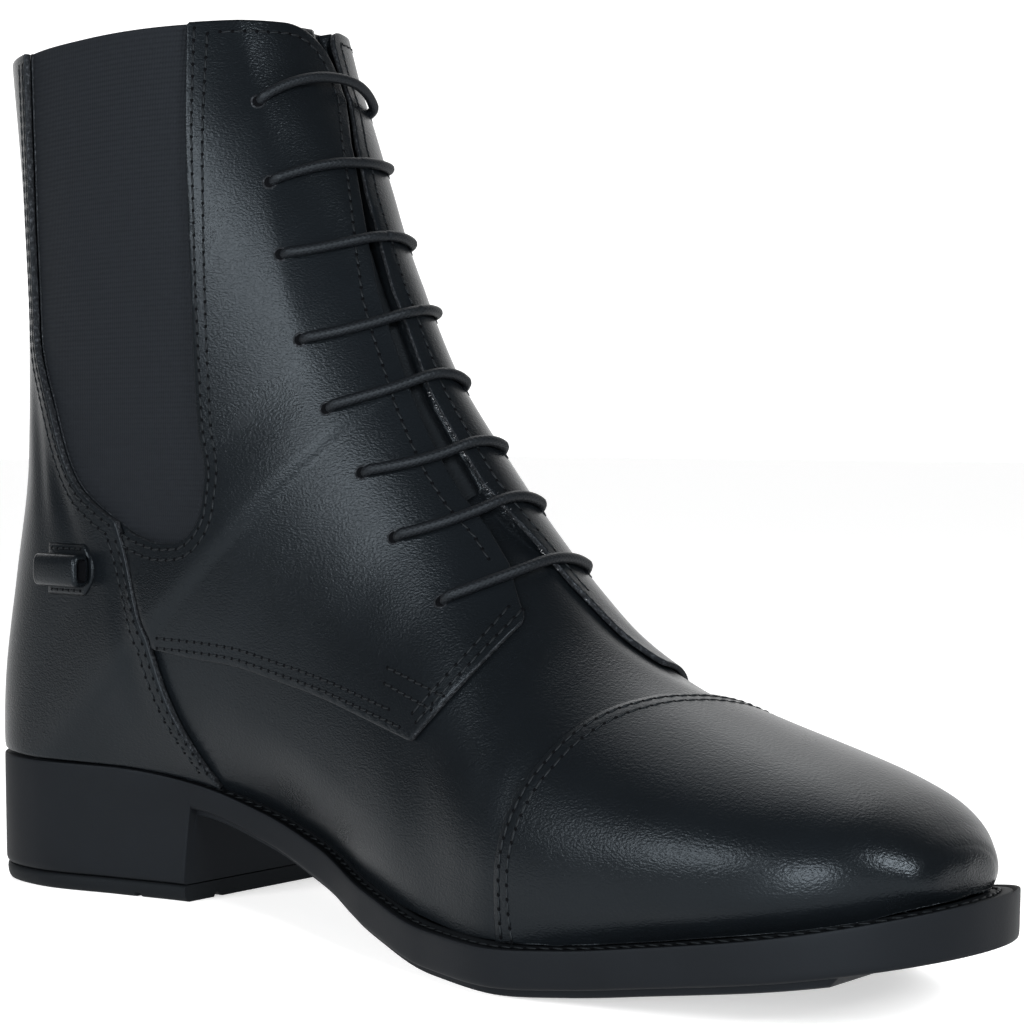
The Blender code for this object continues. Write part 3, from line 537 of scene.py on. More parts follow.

# %% [markdown]
# Where leather is cut, its fibres show: a matt, dark edge with paler threads standing out of it. The
# sole is moulded rubber with the fine matt skin of its mould. Thread is bonded polyester with a slight
# shine. Holes and hollows get a near-black fill that is painted shade, for the dark inside a hole: it is
# the darkest thing on the boot. Two functions make them all.

# %% Cut edge, rubber and thread
PALE_FIBRES = (0.5, 0.75)
WEAR = 18.0


def fibre_edge(name, dark, light, size):
    """Raw cut leather: matt, with pale fibres in the dark dye."""
    material, tree, shader = new_finish(name, Roughness=0.8, Specular_IOR_Level=0.15, Specular_Tint=COOL)
    fluff = noise(tree, object_place(tree), size, detail=4.0, roughness=0.7)
    dress(
        tree, shader, Base_Color=tint(tree, ranged(tree, fluff, source=PALE_FIBRES), dark, light),
        Normal=bump(tree, fluff, strength=0.7, depth=0.2),
    )
    return material


def matt_black(name, dark, light, gloss, size, depth, sheen):
    """Black rubber, thread or painted hole shade, whose skin is an even fine roughness of this size in mm.
    """
    material, tree, shader = new_finish(name, Specular_IOR_Level=sheen, Specular_Tint=COOL)
    place = object_place(tree)
    wear = noise(tree, place, WEAR, detail=5.0)
    grit = noise(tree, place, size, detail=3.0, roughness=0.6)
    dress(
        tree, shader, Base_Color=tint(tree, wear, dark, light), Roughness=ranged(tree, wear, to=gloss),
        Normal=bump(tree, grit, strength=0.5, depth=depth),
    )
    return material


cut_edge = fibre_edge("cut_leather_edge", "#0c0d0f", "#3c3f43", 0.7)
pale_fibre = fibre_edge("pale_leather_fibre", "#15171a", "#b9bcc0", 0.9)
flesh_fluff = fibre_edge("raw_flesh_fibre", "#5a5c60", "#c4c7ca", 0.9)
sole_rubber, lift_rubber, welt_rubber, polyester_thread, hole_shade = [matt_black(*row) for row in (
    # name, two tones, range of roughness, size and depth of the skin's grit, sheen
    ("moulded_sole_rubber", "#090a0c", "#0e1013", (0.5, 0.62), 0.5, 0.06, 0.08),
    ("top_lift_rubber_skin", "#08090b", "#0d0f11", (0.55, 0.7), 0.4, 0.06, 0.08),
    ("welt_rubber_skin", "#07080a", "#0d0f11", (0.55, 0.7), 0.6, 0.15, 0.08),
    ("bonded_polyester_thread", "#060708", "#0b0d0f", (0.5, 0.6), 0.35, 0.1, 0.15),
    # The last row is painted shade: a near-black fill for holes and hollows.
    ("needle_hole_shadow", "#020203", "#040405", (0.85, 0.9), 0.4, 0.05, 0.05),
)]
print("finishes so far:", len(bpy.data.materials))

# %% [markdown]
# The gores are a woven elastic with ribs of covered rubber lying across it. The ribs are modelled, so
# the finish adds only the yarn: fine lines that cross the ribs, and a dry sheen. The cords have a
# braided cover over rubber. The braid follows the cord's own length, so its finish reads the UV map
# that the cord gets when it is made.

# %% Webbing and braid
RIB = 1.2
YARN = 0.7
LINT = 1.5
BRAID = 0.8
BRAID_TURN = math.radians(38.0)
WAVE_PERIOD = 0.314


def elastic_webbing_finish():
    """Knitted polyester over rubber: dry and dark, with yarns about 0.7 mm apart."""
    material, tree, shader = new_finish(
        "elastic_webbing_weave", Roughness=0.8, Specular_IOR_Level=0.13, Specular_Tint=COOL,
    )
    place = object_place(tree)
    yarn = add_node(
        tree, "ShaderNodeTexWave", {"Scale": WAVE_PERIOD * per_mm(YARN), "Distortion": 0.6, "Detail": 1.0},
        {"Vector": place}, wave_type="BANDS", bands_direction="X",
    ).outputs["Fac"]
    lint = noise(tree, place, LINT, detail=6.0, roughness=0.75)
    dress(
        tree, shader, Base_Color=tint(tree, lint, "#08090b", "#101216"),
        Normal=bump(tree, yarn, strength=0.6, depth=0.12),
    )
    return material


def braided_cord_finish():
    """Braided cover: two sets of strands that wind round the cord in opposite directions."""
    material, tree, shader = new_finish(
        "braided_elastic_cord", Roughness=0.5, Specular_IOR_Level=0.15, Specular_Tint=COOL,
    )
    along = add_node(tree, "ShaderNodeUVMap", uv_map="cord").outputs["UV"]
    strands = {}
    for index, turn in enumerate((BRAID_TURN, -BRAID_TURN)):
        slant = add_node(tree, "ShaderNodeMapping", {"Rotation": (0.0, 0.0, turn)}, {"Vector": along})
        strands[index] = add_node(
            tree, "ShaderNodeTexWave", {"Scale": WAVE_PERIOD / BRAID, "Distortion": 0.3},
            {"Vector": slant.outputs["Vector"]},
        ).outputs["Fac"]
    both = add_node(tree, "ShaderNodeMath", links=strands, operation="MAXIMUM").outputs["Value"]
    # The colour follows the strands, lighter on their crests and darker in the grooves between them:
    # painted shade.
    dress(
        tree, shader, Base_Color=tint(tree, both, "#050607", "#0c0e11"),
        Normal=bump(tree, both, strength=0.5, depth=0.1),
    )
    return material


gore_webbing = elastic_webbing_finish()
lace_braid = braided_cord_finish()
print("weaves:", gore_webbing.name, lace_braid.name)

# %% [markdown]
# Each panel starts as a plain grid, like a piece of leather on the cutting board, and its vertices
# are then moved onto the last. A Solidify modifier gives the leather its thickness towards the inside
# and a Bevel modifier softens its cut edges. One function ends every piece: it joins what meets, makes
# the object, hangs it on the frame and hides the solids of the frame that it stands for. Another gives
# the matrix of a small shape that sits on the leather.

# %% From a grid to a piece
JOIN = 0.02
BEVEL_FROM = math.radians(50.0)


def move(verts, points):
    for vert, point in zip(verts, to_frame(points)):
        vert.co = point


def sheet(columns, rows, place):
    """Grid whose fractions u (across) and v (up) are moved to a place in millimetres."""
    bm = bmesh.new()
    bmesh.ops.create_grid(bm, x_segments=columns, y_segments=rows, size=0.5)
    flat = np.array([vert.co[:2] for vert in bm.verts]) + 0.5
    move(bm.verts, place(flat[:, 0], flat[:, 1]))
    return bm


def axes_matrix(point, axes, sizes=(1.0, 1.0, 1.0)):
    """Matrix that lays a shape in millimetres along three directions at a point."""
    matrix = Matrix.Identity(4)
    for column, (axis, size) in enumerate(zip(axes, sizes)):
        for row in range(3):
            matrix[row][column] = axis[row] * size * MM
    matrix.translation = to_frame(point)
    return matrix


def make_piece(
        bm, name, finishes, stands_for=(), wall=0.0, edge=0.0, closed=False, capped=False, sharp=0.0,
):
    """Ends a piece: joins doubles, gives it a wall and soft edges, and puts it on the frame."""
    bmesh.ops.remove_doubles(bm, verts=bm.verts[:], dist=JOIN * MM)
    if capped:
        bmesh.ops.holes_fill(bm, edges=[rim for rim in bm.edges if rim.is_boundary])
    if closed:
        bmesh.ops.recalc_face_normals(bm, faces=bm.faces[:])
    for face in bm.faces:
        face.smooth = True
    mesh = bpy.data.meshes.new(name)
    bm.to_mesh(mesh)
    bm.free()
    if sharp:
        mesh.set_sharp_from_angle(angle=math.radians(sharp))
    for finish in finishes:
        mesh.materials.append(finish)
    piece = bpy.data.objects.new(name, mesh)
    bpy.context.scene.collection.objects.link(piece)
    if wall:
        solid = piece.modifiers.new("wall", "SOLIDIFY")
        solid.thickness = wall * MM
        solid.offset = -1.0
        solid.material_offset = len(finishes) - 1
        solid.material_offset_rim = min(1, len(finishes) - 1)
    if edge:
        bevel = piece.modifiers.new("soft_edge", "BEVEL")
        bevel.width = edge * MM
        bevel.segments = 2
        bevel.limit_method = "ANGLE"
        bevel.angle_limit = BEVEL_FROM
        bevel.use_clamp_overlap = False
    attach(piece, "root")
    if stands_for:
        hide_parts(*stands_for)
    print(name, "-", len(mesh.polygons), "faces")


# %% [markdown]
# The pattern of the boot is a few outlines, as a pattern cutter draws them: the gores, the counter
# and the lacing quarters seen from the side, and the toe cap's seam seen from above. A smooth curve
# goes through each, because a knife makes no corners in leather where the pattern has none.

# %% Pattern
GORE_OUTLINE = (
    (22.0, 225.0), (21.0, 171.0), (22.0, 138.6), (31.3, 118.7), (38.0, 105.5), (43.0, 99.6),
    (49.4, 95.4), (56.3, 91.8), (63.7, 88.5), (71.9, 86.9), (77.8, 87.2), (82.5, 89.8),
    (85.0, 94.9), (85.1, 101.5), (82.2, 113.4), (78.8, 144.1), (72.0, 225.0),
)
COUNTER_FRONT = (
    (83.0, 26.0), (80.2, 34.0), (75.2, 44.4), (71.2, 54.6), (67.4, 66.5), (62.8, 77.6), (56.6, 92.0),
)
QUARTER_FOOT = (
    (60.0, 60.6), (81.0, 60.2), (93.7, 59.5), (109.6, 56.8), (126.3, 53.6), (140.3, 50.5), (155.6, 47.4),
)
QUARTER_NOSE = {
    "inner": (
        (155.6, 47.4), (162.6, 54.8), (167.5, 61.5), (170.6, 67.6), (172.0, 72.0), (172.5, 76.0),
        (173.0, 84.0),
    ),
    "outer": (
        (155.6, 47.4), (171.0, 45.0), (178.0, 50.5), (183.5, 56.0), (187.5, 61.0), (189.5, 64.5),
        (190.5, 70.0),
    ),
}
CAP_SEAM = np.array([
    (185.5, -60.0), (186.0, -45.0), (189.2, -41.0), (192.6, -36.0), (196.2, -28.0), (200.8, -17.0),
    (204.5, -6.0), (206.8, 5.0), (207.6, 15.0), (207.0, 25.0), (205.0, 34.0), (203.0, 44.0), (202.5, 60.0),
])
THROAT = np.array([
    # s, y of the inner facing's edge, y of the outer one's
    (0.360, -22.0, 16.0), (0.378, -20.5, 9.0), (0.400, -19.0, 5.1), (0.425, -17.5, 2.2),
    (0.443, -16.4, -0.5), (0.470, -12.9, -2.8), (0.500, -12.1, -6.0), (0.530, -12.6, -7.9),
    (0.560, -12.4, -7.9), (0.610, -11.1, -7.6), (0.665, -9.5, -5.9), (0.725, -7.9, -4.6),
    (0.770, -5.7, -2.5), (0.835, -1.8, 0.1), (0.885, 1.6, 3.5), (0.932, 6.3, 8.2), (1.060, 6.6, 8.6),
])
LEATHER = 1.3
COUNTER_LEATHER = 1.7
UPPER_WALL = 2.0
PANEL_TOP = GAP + LEATHER
COUNTER_TOP = GAP + COUNTER_LEATHER
COLLAR_BACK = (-2.4, 206.0)
COLLAR_FRONT = (86.5, 210.5)
SIDES = ((-1, "inner"), (1, "outer"))
CURVE_STEP = 0.8


def curve_through(points, step=CURVE_STEP):
    """Smooth curve through points, as a row of close points."""
    points = np.array(points, dtype=float)
    chord = np.concatenate([[0.0], np.cumsum(np.linalg.norm(np.diff(points, axis=0), axis=1))])
    where = np.linspace(0.0, chord[-1], max(2, int(round(chord[-1] / step)) + 1))
    return np.stack([smooth(chord, points[:, i], where) for i in range(points.shape[1])], axis=-1)


def collar(x):
    """Height of the collar's straight edge, seen from the side."""
    slope = (COLLAR_FRONT[1] - COLLAR_BACK[1]) / (COLLAR_FRONT[0] - COLLAR_BACK[0])
    return COLLAR_BACK[1] + slope * (x - COLLAR_BACK[0])


gore_edge = curve_through(GORE_OUTLINE)
gore_foot = int(np.argmin(gore_edge[:, 1]))
gore_rear = gore_edge[:gore_foot + 1][::-1]
gore_front = gore_edge[gore_foot:]
counter_edge = curve_through(COUNTER_FRONT)
quarter_foot = curve_through(QUARTER_FOOT)
quarter_nose = {word: curve_through(nose) for word, nose in QUARTER_NOSE.items()}
print("gore from", gore_edge[gore_foot].round(1), "up to the collar")

# %% [markdown]
# The gores are the elastic that lets the boot stretch over the ankle. Their ribs lie across the boot
# and rise a little to the front. A bump map could draw them, but the ribs are what the eye reads on
# the real webbing, so each rib is five rows of a fine grid.

# %% Gores
GORE_SINK = 0.3
GORE_THICKNESS = 1.2
GORE_TUCK = 0.5
RIB_HEIGHT = 0.16
RIB_MEAN = 0.6
ROWS_IN_RIB = 5
GORE_COLUMNS = 30
GORE_TOP = 207.5


def make_gore(side, word):
    low = float(gore_edge[gore_foot][1])
    rows = int((GORE_TOP - low) / RIB * ROWS_IN_RIB)

    def place(u, v):
        across = u if side < 0 else 1.0 - u
        level = low + v * (GORE_TOP - low)
        rear = np.interp(level, gore_rear[:, 1], gore_rear[:, 0]) - GORE_TUCK
        front = np.interp(level, gore_front[:, 1], gore_front[:, 0]) + GORE_TUCK
        x = rear + across * (front - rear)
        s, t = from_side(x, level + (collar(x) - GORE_TOP) * v, side)
        rib = RIB_HEIGHT * (np.abs(np.sin(math.pi * level / RIB)) - RIB_MEAN)
        return skin(s, t, rib - GORE_SINK)

    make_piece(
        sheet(GORE_COLUMNS, rows, place), word + "_gore_webbing", [gore_webbing],
        ["gore_" + word], wall=GORE_THICKNESS,
    )


for side, word in SIDES:
    make_gore(side, word)

# %% [markdown]
# The counter is the stiff back panel: it cups the heel, and above the gores' feet it narrows to a
# strip up the back. Its grid runs level round the heel from one front edge to the other, so the
# panel's edge is a row of vertices and stays as clean as a knife cut.

# %% Counter
COUNTER_ROWS = 150
COUNTER_COLUMNS = 96
COUNTER_FOOT = 33.0
EDGE_FADE = 6.0
COUNTER_OVERLAP = 0.3


def counter_front(level):
    """Front edge of the counter at a height: its own cut, then the rear edge of the gore."""
    cut = np.interp(level, counter_edge[:, 1], counter_edge[:, 0]) + COUNTER_OVERLAP
    rear = np.interp(level, gore_rear[:, 1], gore_rear[:, 0])
    return np.where(level < counter_edge[-1, 1], cut, rear)


def counter_place(u, v):
    level = COUNTER_FOOT + v * (COLLAR_BACK[1] - COUNTER_FOOT)
    seam = np.interp(level, BACK_SEAM[1], BACK_SEAM[0])
    turn = 1.0 - 2.0 * u
    x = seam + (counter_front(level) - seam) * (1.0 - np.cos(turn * math.pi / 2.0))
    z = level + (sole_rim(x) + GAP - COUNTER_FOOT) * (1.0 - v) ** EDGE_FADE
    z = z + (collar(x) - COLLAR_BACK[1]) * v ** EDGE_FADE
    s, t = from_side(x, z, np.where(turn < 0.0, -1.0, 1.0))
    return skin(s, t, COUNTER_TOP)


make_piece(
    sheet(COUNTER_COLUMNS, COUNTER_ROWS, counter_place), "counter_leather",
    [smooth_cowhide, cut_edge], ["counter"], wall=COUNTER_LEATHER, edge=0.4,
)

# %% [markdown]
# The toe cap is a second layer of leather over the front of the vamp. Its grid runs from the tip of
# the toe to the seam, and the rows crowd at the tip where the leather bends most. The two halves meet
# at the tip in one upright line, which the join at the end closes.

# %% Toe cap
CAP_ROWS = 70
CAP_COLUMNS = 120
TIP_CROWDING = 1.7
CAP_SPAN = (0.1, 0.45)
AT_EDGE = 1e-6


def cap_section(t, ahead=0.0):
    """s of the toe cap's seam at each place round the section, or of a line this far ahead of it."""
    def before(s):
        x, y, _ = np.moveaxis(last_surface(s, t), -1, 0)
        return x - ahead > np.interp(y, CAP_SEAM[:, 1], CAP_SEAM[:, 0])

    return halve(CAP_SPAN, np.shape(t), before)


def cap_place(u, v):
    t = 2.0 * u - 1.0
    s = cap_section(t) * v ** TIP_CROWDING
    here, opposite = skin(s, t, PANEL_TOP), skin(s, -t, PANEL_TOP)
    return np.where((v < AT_EDGE)[:, None], (here + opposite) / 2.0, here)


make_piece(
    sheet(CAP_COLUMNS, CAP_ROWS, cap_place), "toe_cap_leather", [smooth_cowhide, cut_edge],
    ["toe_cap"], wall=LEATHER, edge=0.4,
)

# %% [markdown]
# A quarter is the lacing flap of one side, from the gore to the front edge with its eyelets. Its shape
# has too many corners for one neat grid, so it is cut as leather is: a grid is laid flat, every face
# outside the outline is deleted, and the rim that is left is drawn onto the outline. A field gives the
# distance to the outline, negative inside, and a few rounds of averaging even out the rim.

# %% Cutting a panel out of a grid
FLAT_T = 130.0
FLAT_S = 330.0
RELAX_ROUNDS = 14
DRAW_ROUNDS = 3
PROBE = 0.02
LEAST_SLOPE = 0.04
LONGEST_PULL = 2.0
BORDER = 0.1


def edge_distance(x, z, outline):
    """Distance to a closed outline seen from the side, negative inside it."""
    nearest = np.full(np.shape(x), np.inf)
    inside = np.zeros(np.shape(x), dtype=bool)
    for (ax, az), (bx, bz) in zip(outline, np.roll(outline, -1, axis=0)):
        length = (bx - ax) ** 2 + (bz - az) ** 2
        if length > 0.0:
            part = np.clip(((x - ax) * (bx - ax) + (z - az) * (bz - az)) / length, 0.0, 1.0)
            away = (x - ax - part * (bx - ax)) ** 2 + (z - az - part * (bz - az)) ** 2
            nearest = np.minimum(nearest, away)
        if az != bz:
            level = (az > z) != (bz > z)
            inside ^= level & (x < (bx - ax) * (z - az) / (bz - az) + ax)
    return np.where(inside, -1.0, 1.0) * np.sqrt(nearest)


def meet(a, b, radius):
    """Field of the overlap of two fields, with a rounded corner where their edges meet."""
    corner = np.hypot(np.maximum(a + radius, 0.0), np.maximum(b + radius, 0.0)) - radius
    deeper = np.maximum(a, b)
    return np.where(deeper < -radius, deeper, corner)


def draw_to_edge(flat, field):
    """Moves flat points onto the edge of the field by the field's own slope."""
    for _ in range(DRAW_ROUNDS):
        here = field(flat)
        slope = np.stack([
            (field(flat + np.array(step)) - here) / PROBE for step in ((PROBE, 0.0), (0.0, PROBE))
        ], axis=-1)
        size = np.maximum((slope ** 2).sum(axis=-1), LEAST_SLOPE)
        flat = flat - np.clip(here / size, -LONGEST_PULL, LONGEST_PULL)[:, None] * slope
    return flat


def clicked(t_range, s_range, cell, field, hold=False):
    """Flat panel cut from a grid, and s and t of its vertices; hold keeps the grid's own border."""
    low = np.array([t_range[0] * FLAT_T, s_range[0] * FLAT_S])
    high = np.array([t_range[1] * FLAT_T, s_range[1] * FLAT_S])
    columns, rows = [int(round(side / cell)) for side in high - low]
    bm = bmesh.new()
    bmesh.ops.create_grid(bm, x_segments=columns, y_segments=rows, size=0.5)
    flat = low + (np.array([vert.co[:2] for vert in bm.verts]) + 0.5) * (high - low)
    for vert, point in zip(bm.verts, flat):
        vert.co = (*point, 0.0)
    middles = np.array([face.calc_center_median()[:2] for face in bm.faces])
    outside = [face for face, value in zip(bm.faces, field(middles)) if value > 0.0]
    bmesh.ops.delete(bm, geom=outside, context="FACES")
    bm.verts.index_update()
    flat = np.array([vert.co[:2] for vert in bm.verts])
    pairs = np.array([[vert.index for vert in edge.verts] for edge in bm.edges])
    rim_pairs = np.array([[v.index for v in edge.verts] for edge in bm.edges if edge.is_boundary])
    rim = np.zeros(len(flat), dtype=bool)
    rim[rim_pairs.ravel()] = True
    fixed = np.zeros(len(flat), dtype=bool)
    if hold:
        border = np.abs(np.stack([flat - low, flat - high])).min(axis=(0, 2)) < cell * BORDER
        fixed = border & rim
    for _ in range(RELAX_ROUNDS):
        means = []
        for links in (pairs, rim_pairs):
            total = np.zeros_like(flat)
            count = np.zeros(len(flat))
            for a, b in ((0, 1), (1, 0)):
                np.add.at(total, links[:, a], flat[links[:, b]])
                np.add.at(count, links[:, a], 1.0)
            means.append(total / np.maximum(count, 1.0)[:, None])
        moved = np.where(rim[:, None], (flat + means[1]) / 2.0, means[0])
        free = rim & ~fixed
        moved[free] = draw_to_edge(moved[free], field)
        flat = np.where(fixed[:, None], flat, moved)
    return bm, flat[:, 1] / FLAT_S, flat[:, 0] / FLAT_T


def throat_edges(s):
    return [np.interp(s, THROAT[:, 0], THROAT[:, i]) for i in (1, 2)]


print("flat cell of 1 mm:", round(1.0 / FLAT_T, 4), "of t,", round(1.0 / FLAT_S, 4), "of s")

# %% [markdown]
# The quarters are cut with it now. The inner one ends in a blunt nose on the vamp and has a well
# rounded corner at the collar. The outer one shows only its edges, over the throat.

# %% Quarters
QUARTER_CELL = 0.95
QUARTER_SPAN = (0.34, 1.03)
QUARTER_ROUND = {"inner": (-0.92, 0.1), "outer": (-0.1, 0.92)}
NOSE_RADIUS = 2.0
COLLAR_RADIUS = {"inner": 13.0, "outer": 4.0}
PANEL_GAP = 0.5
FAR_FRONT = 205.0
FAR_TOP = 230.0


def quarter_field(side, word):
    rear = counter_edge[::-1] + np.array([PANEL_GAP, 0.0])
    foot = quarter_foot[quarter_foot[:, 0] > rear[-1, 0]]
    rear = rear[rear[:, 1] > foot[0, 1] + 1.0]
    nose = quarter_nose[word]
    front = np.array([(FAR_FRONT, nose[-1, 1]), (FAR_FRONT, FAR_TOP), (rear[0, 0], FAR_TOP)])
    outline = np.concatenate([rear, foot[foot[:, 0] > rear[-1, 0]], nose, front])

    def field(flat):
        t, s = flat[:, 0] / FLAT_T, flat[:, 1] / FLAT_S
        x, y, z = last_surface(s, t).T
        inner, outer = throat_edges(s)
        facing = y - inner if side < 0 else outer - y
        panel = np.maximum(edge_distance(x, z, outline), -edge_distance(x, z, gore_edge))
        corner = meet(facing, z - collar(x), COLLAR_RADIUS[word])
        return np.maximum(meet(panel, facing, NOSE_RADIUS), corner)

    return field


def make_quarter(side, word):
    bm, s, t = clicked(QUARTER_ROUND[word], QUARTER_SPAN, QUARTER_CELL, quarter_field(side, word))
    move(bm.verts, skin(s, t, PANEL_TOP))
    make_piece(
        bm, word + "_quarter_leather", [smooth_cowhide, cut_edge],
        ["quarter_" + word], wall=LEATHER, edge=0.35,
    )


for side, word in SIDES:
    make_quarter(side, word)

# %% [markdown]
# Under the panels lies the upper itself: the vamp over the toes, the sides, and the lining that the
# foot feels. It is open at the collar, at the gores and in the throat. The same cutting makes it, from
# one grid that goes right round the last and closes at the back seam. In the throat the vamp runs on
# under the lacing and dips there to meet the tongue.

# %% Vamp and lining
UPPER_CELL = 1.25
THROAT_START = 0.53
DIP = (0.452, 0.50)
DIP_DEPTH = 2.3
DIP_MARGIN = 2.5
THROAT_ABOVE = 40.0
NO_THROAT = 50.0


def upper_field(flat):
    t, s = flat[:, 0] / FLAT_T, flat[:, 1] / FLAT_S
    x, y, z = last_surface(s, t).T
    inner, outer = throat_edges(s)
    throat = np.maximum(np.maximum(inner - y, y - outer), (THROAT_START - s) * FLAT_S)
    throat = np.where(z > THROAT_ABOVE, throat, NO_THROAT)
    return -np.minimum(throat, edge_distance(x, z, gore_edge))


def vamp_dip(s, t):
    """Depth of the vamp under the lacing, where it turns into the tongue."""
    y = last_surface(s, t)[..., 1]
    inner, outer = throat_edges(s)
    inside = np.clip(np.minimum(y - inner, outer - y) / DIP_MARGIN + 1.0, 0.0, 1.0)
    down = np.clip((s - DIP[0]) / (DIP[1] - DIP[0]), 0.0, 1.0)
    down = down * down * (3.0 - 2.0 * down)
    return -DIP_DEPTH * down * inside * (np.abs(t) < WIDEST_T)


def make_upper():
    bm, s, t = clicked((-1.0, 1.0), (0.0, 1.0), UPPER_CELL, upper_field, hold=True)
    here = skin(s, t, vamp_dip(s, t))
    opposite = skin(s, -t, 0.0)
    seam = (s < AT_EDGE) | ((np.abs(t) > 1.0 - AT_EDGE) & (s >= HEEL_S - AT_EDGE))
    move(bm.verts, np.where(seam[:, None], (here + opposite) / 2.0, here))
    make_piece(
        bm, "vamp_and_lining", [smooth_cowhide, cut_edge, lining_pigskin],
        ["upper"], wall=UPPER_WALL,
    )


make_upper()

# %% [markdown]
# The tongue closes the throat under the facings. It is one soft strip of leather, smooth outside and
# lined inside, and its raw top edge shows at the collar. A plain grid under the facings is enough.

# %% Tongue
TONGUE_GRID = (40, 130)
TONGUE_START = 0.49
TONGUE_END = 1.003
TONGUE_REACH = 0.24
TONGUE_DEPTH = 2.6
TONGUE_THICKNESS = 2.0


def tongue_place(u, v):
    t = TONGUE_REACH * (2.0 * u - 1.0)
    s = TONGUE_START + v * (TONGUE_END - TONGUE_START)
    return skin(s, t, -TONGUE_DEPTH)


make_piece(
    sheet(*TONGUE_GRID, tongue_place), "tongue_leather_flap", [tongue_cowhide, pale_fibre, lining_pigskin],
    ["tongue"], wall=TONGUE_THICKNESS, edge=0.5,
)

# %% [markdown]
# The front is closed by eight bars of round elastic cord, each between two eyelets. A bar leaves its
# eyelet straight up, bends over and lies on the facings, so its path is a height over the leather that
# rises like a quarter circle at both ends. The top bar is slack and stands off at its outer end. The
# cord is a grid rolled up along that path, with a UV map in millimetres for the braid.

# %% Lace bars
LACE_BARS = (
    # s and t of the inner eyelet, s and t of the outer one, s of the middle
    (0.931, -0.180, 0.931, 0.180, 0.945), (0.863, -0.199, 0.870, 0.135, 0.860),
    (0.800, -0.203, 0.785, 0.110, 0.779), (0.723, -0.204, 0.705, 0.095, 0.692),
    (0.651, -0.211, 0.622, 0.085, 0.627), (0.588, -0.228, 0.560, 0.085, 0.561),
    (0.541, -0.252, 0.512, 0.105, 0.512), (0.486, -0.252, 0.466, 0.140, 0.460),
)
LACE_RADIUS = 1.25
LACE_LIFT = PANEL_TOP + LACE_RADIUS
LACE_SINK = 2.2
LACE_BEND = 3.2
LACE_ROUND = 12
LACE_STEPS = 90
TOP_SLACK = 2.6
SLACK_LEAN = 0.6


def arc_length(path):
    return np.concatenate([[0.0], np.cumsum(np.linalg.norm(np.diff(path, axis=0), axis=1))])


def lace_path(bar, slack):
    """Middle line of a bar and the direction out of the leather along it."""
    s_inner, t_inner, s_outer, t_outer, middle = bar
    u = np.linspace(-1.0, 1.0, LACE_STEPS + 1)
    s = middle + (np.where(u < 0.0, s_inner, s_outer) - middle) * u ** 2
    t = t_inner + (t_outer - t_inner) * (u + 1.0) / 2.0
    run = arc_length(skin(s, t, LACE_LIFT))
    to_end = np.minimum(run, run[-1] - run)
    bend = np.sqrt(np.clip(1.0 - (1.0 - np.clip(to_end / LACE_BEND, 0.0, 1.0)) ** 2, 0.0, 1.0))
    lift = (LACE_LIFT + LACE_SINK) * bend - LACE_SINK
    share = run / run[-1]
    lift = lift + slack * np.sin(math.pi * share) * (1.0 - SLACK_LEAN + SLACK_LEAN * share)
    return skin(s, t, lift), last_normal(s, t)


def rolled(path, out, radius, round_steps, uv_name):
    """Round cord along a path: a grid rolled up, its ends open, with UVs in millimetres."""
    ahead = np.gradient(path, axis=0)
    ahead /= np.linalg.norm(ahead, axis=1, keepdims=True)
    aside = np.cross(ahead, out)
    aside /= np.linalg.norm(aside, axis=1, keepdims=True)
    up = np.cross(aside, ahead)
    steps = len(path) - 1

    def place(u, v):
        row = np.rint(v * steps).astype(int)
        turn = 2.0 * math.pi * u[:, None]
        return path[row] + radius * (np.cos(turn) * aside[row] + np.sin(turn) * up[row])

    bm = sheet(round_steps, steps, place)
    layer = bm.loops.layers.uv.new(uv_name)
    run = arc_length(path)
    bm.verts.index_update()
    for loop in [loop for face in bm.faces for loop in face.loops]:
        along, across = divmod(loop.vert.index, round_steps + 1)
        loop[layer].uv = (across / round_steps * 2.0 * math.pi * radius, run[along])
    return bm


lace_lengths = []
for number, bar in enumerate(LACE_BARS, start=1):
    path, out = lace_path(bar, TOP_SLACK if number == 1 else 0.0)
    lace_lengths.append(float(arc_length(path)[-1]))
    make_piece(
        rolled(path, out, LACE_RADIUS, LACE_ROUND, "cord"), "lace_cord_%d" % number, [lace_braid],
        ["lace_bar_%d" % number], closed=True, capped=True,
    )
print("visible cord, mm:", [round(length, 1) for length in lace_lengths])

# %% [markdown]
# The cords come out of punched holes with a low rolled rim, where a small eyelet sits on the inside of
# the leather. A circle spun round the hole makes the rim, and a flat near-black dome fills the hole: it
# is painted shade, for the dark inside of the hole.

# %% Eyelets
EYELET_RADIUS = 1.55
EYELET_RIM = 0.28
EYELET_STEPS = 20
EYELET_SINK = 0.1


def frame_at(s, t, offset):
    """Matrix at a place on the leather: X up the boot, Y round it, Z out of it, in millimetres."""
    point, out = skin(s, t, offset), last_normal(s, t)
    up = last_surface(s + NORMAL_STEP, t) - last_surface(s - NORMAL_STEP, t)
    up = up - (up @ out) * out
    up /= np.linalg.norm(up)
    return axes_matrix(point, (up, np.cross(out, up), out))


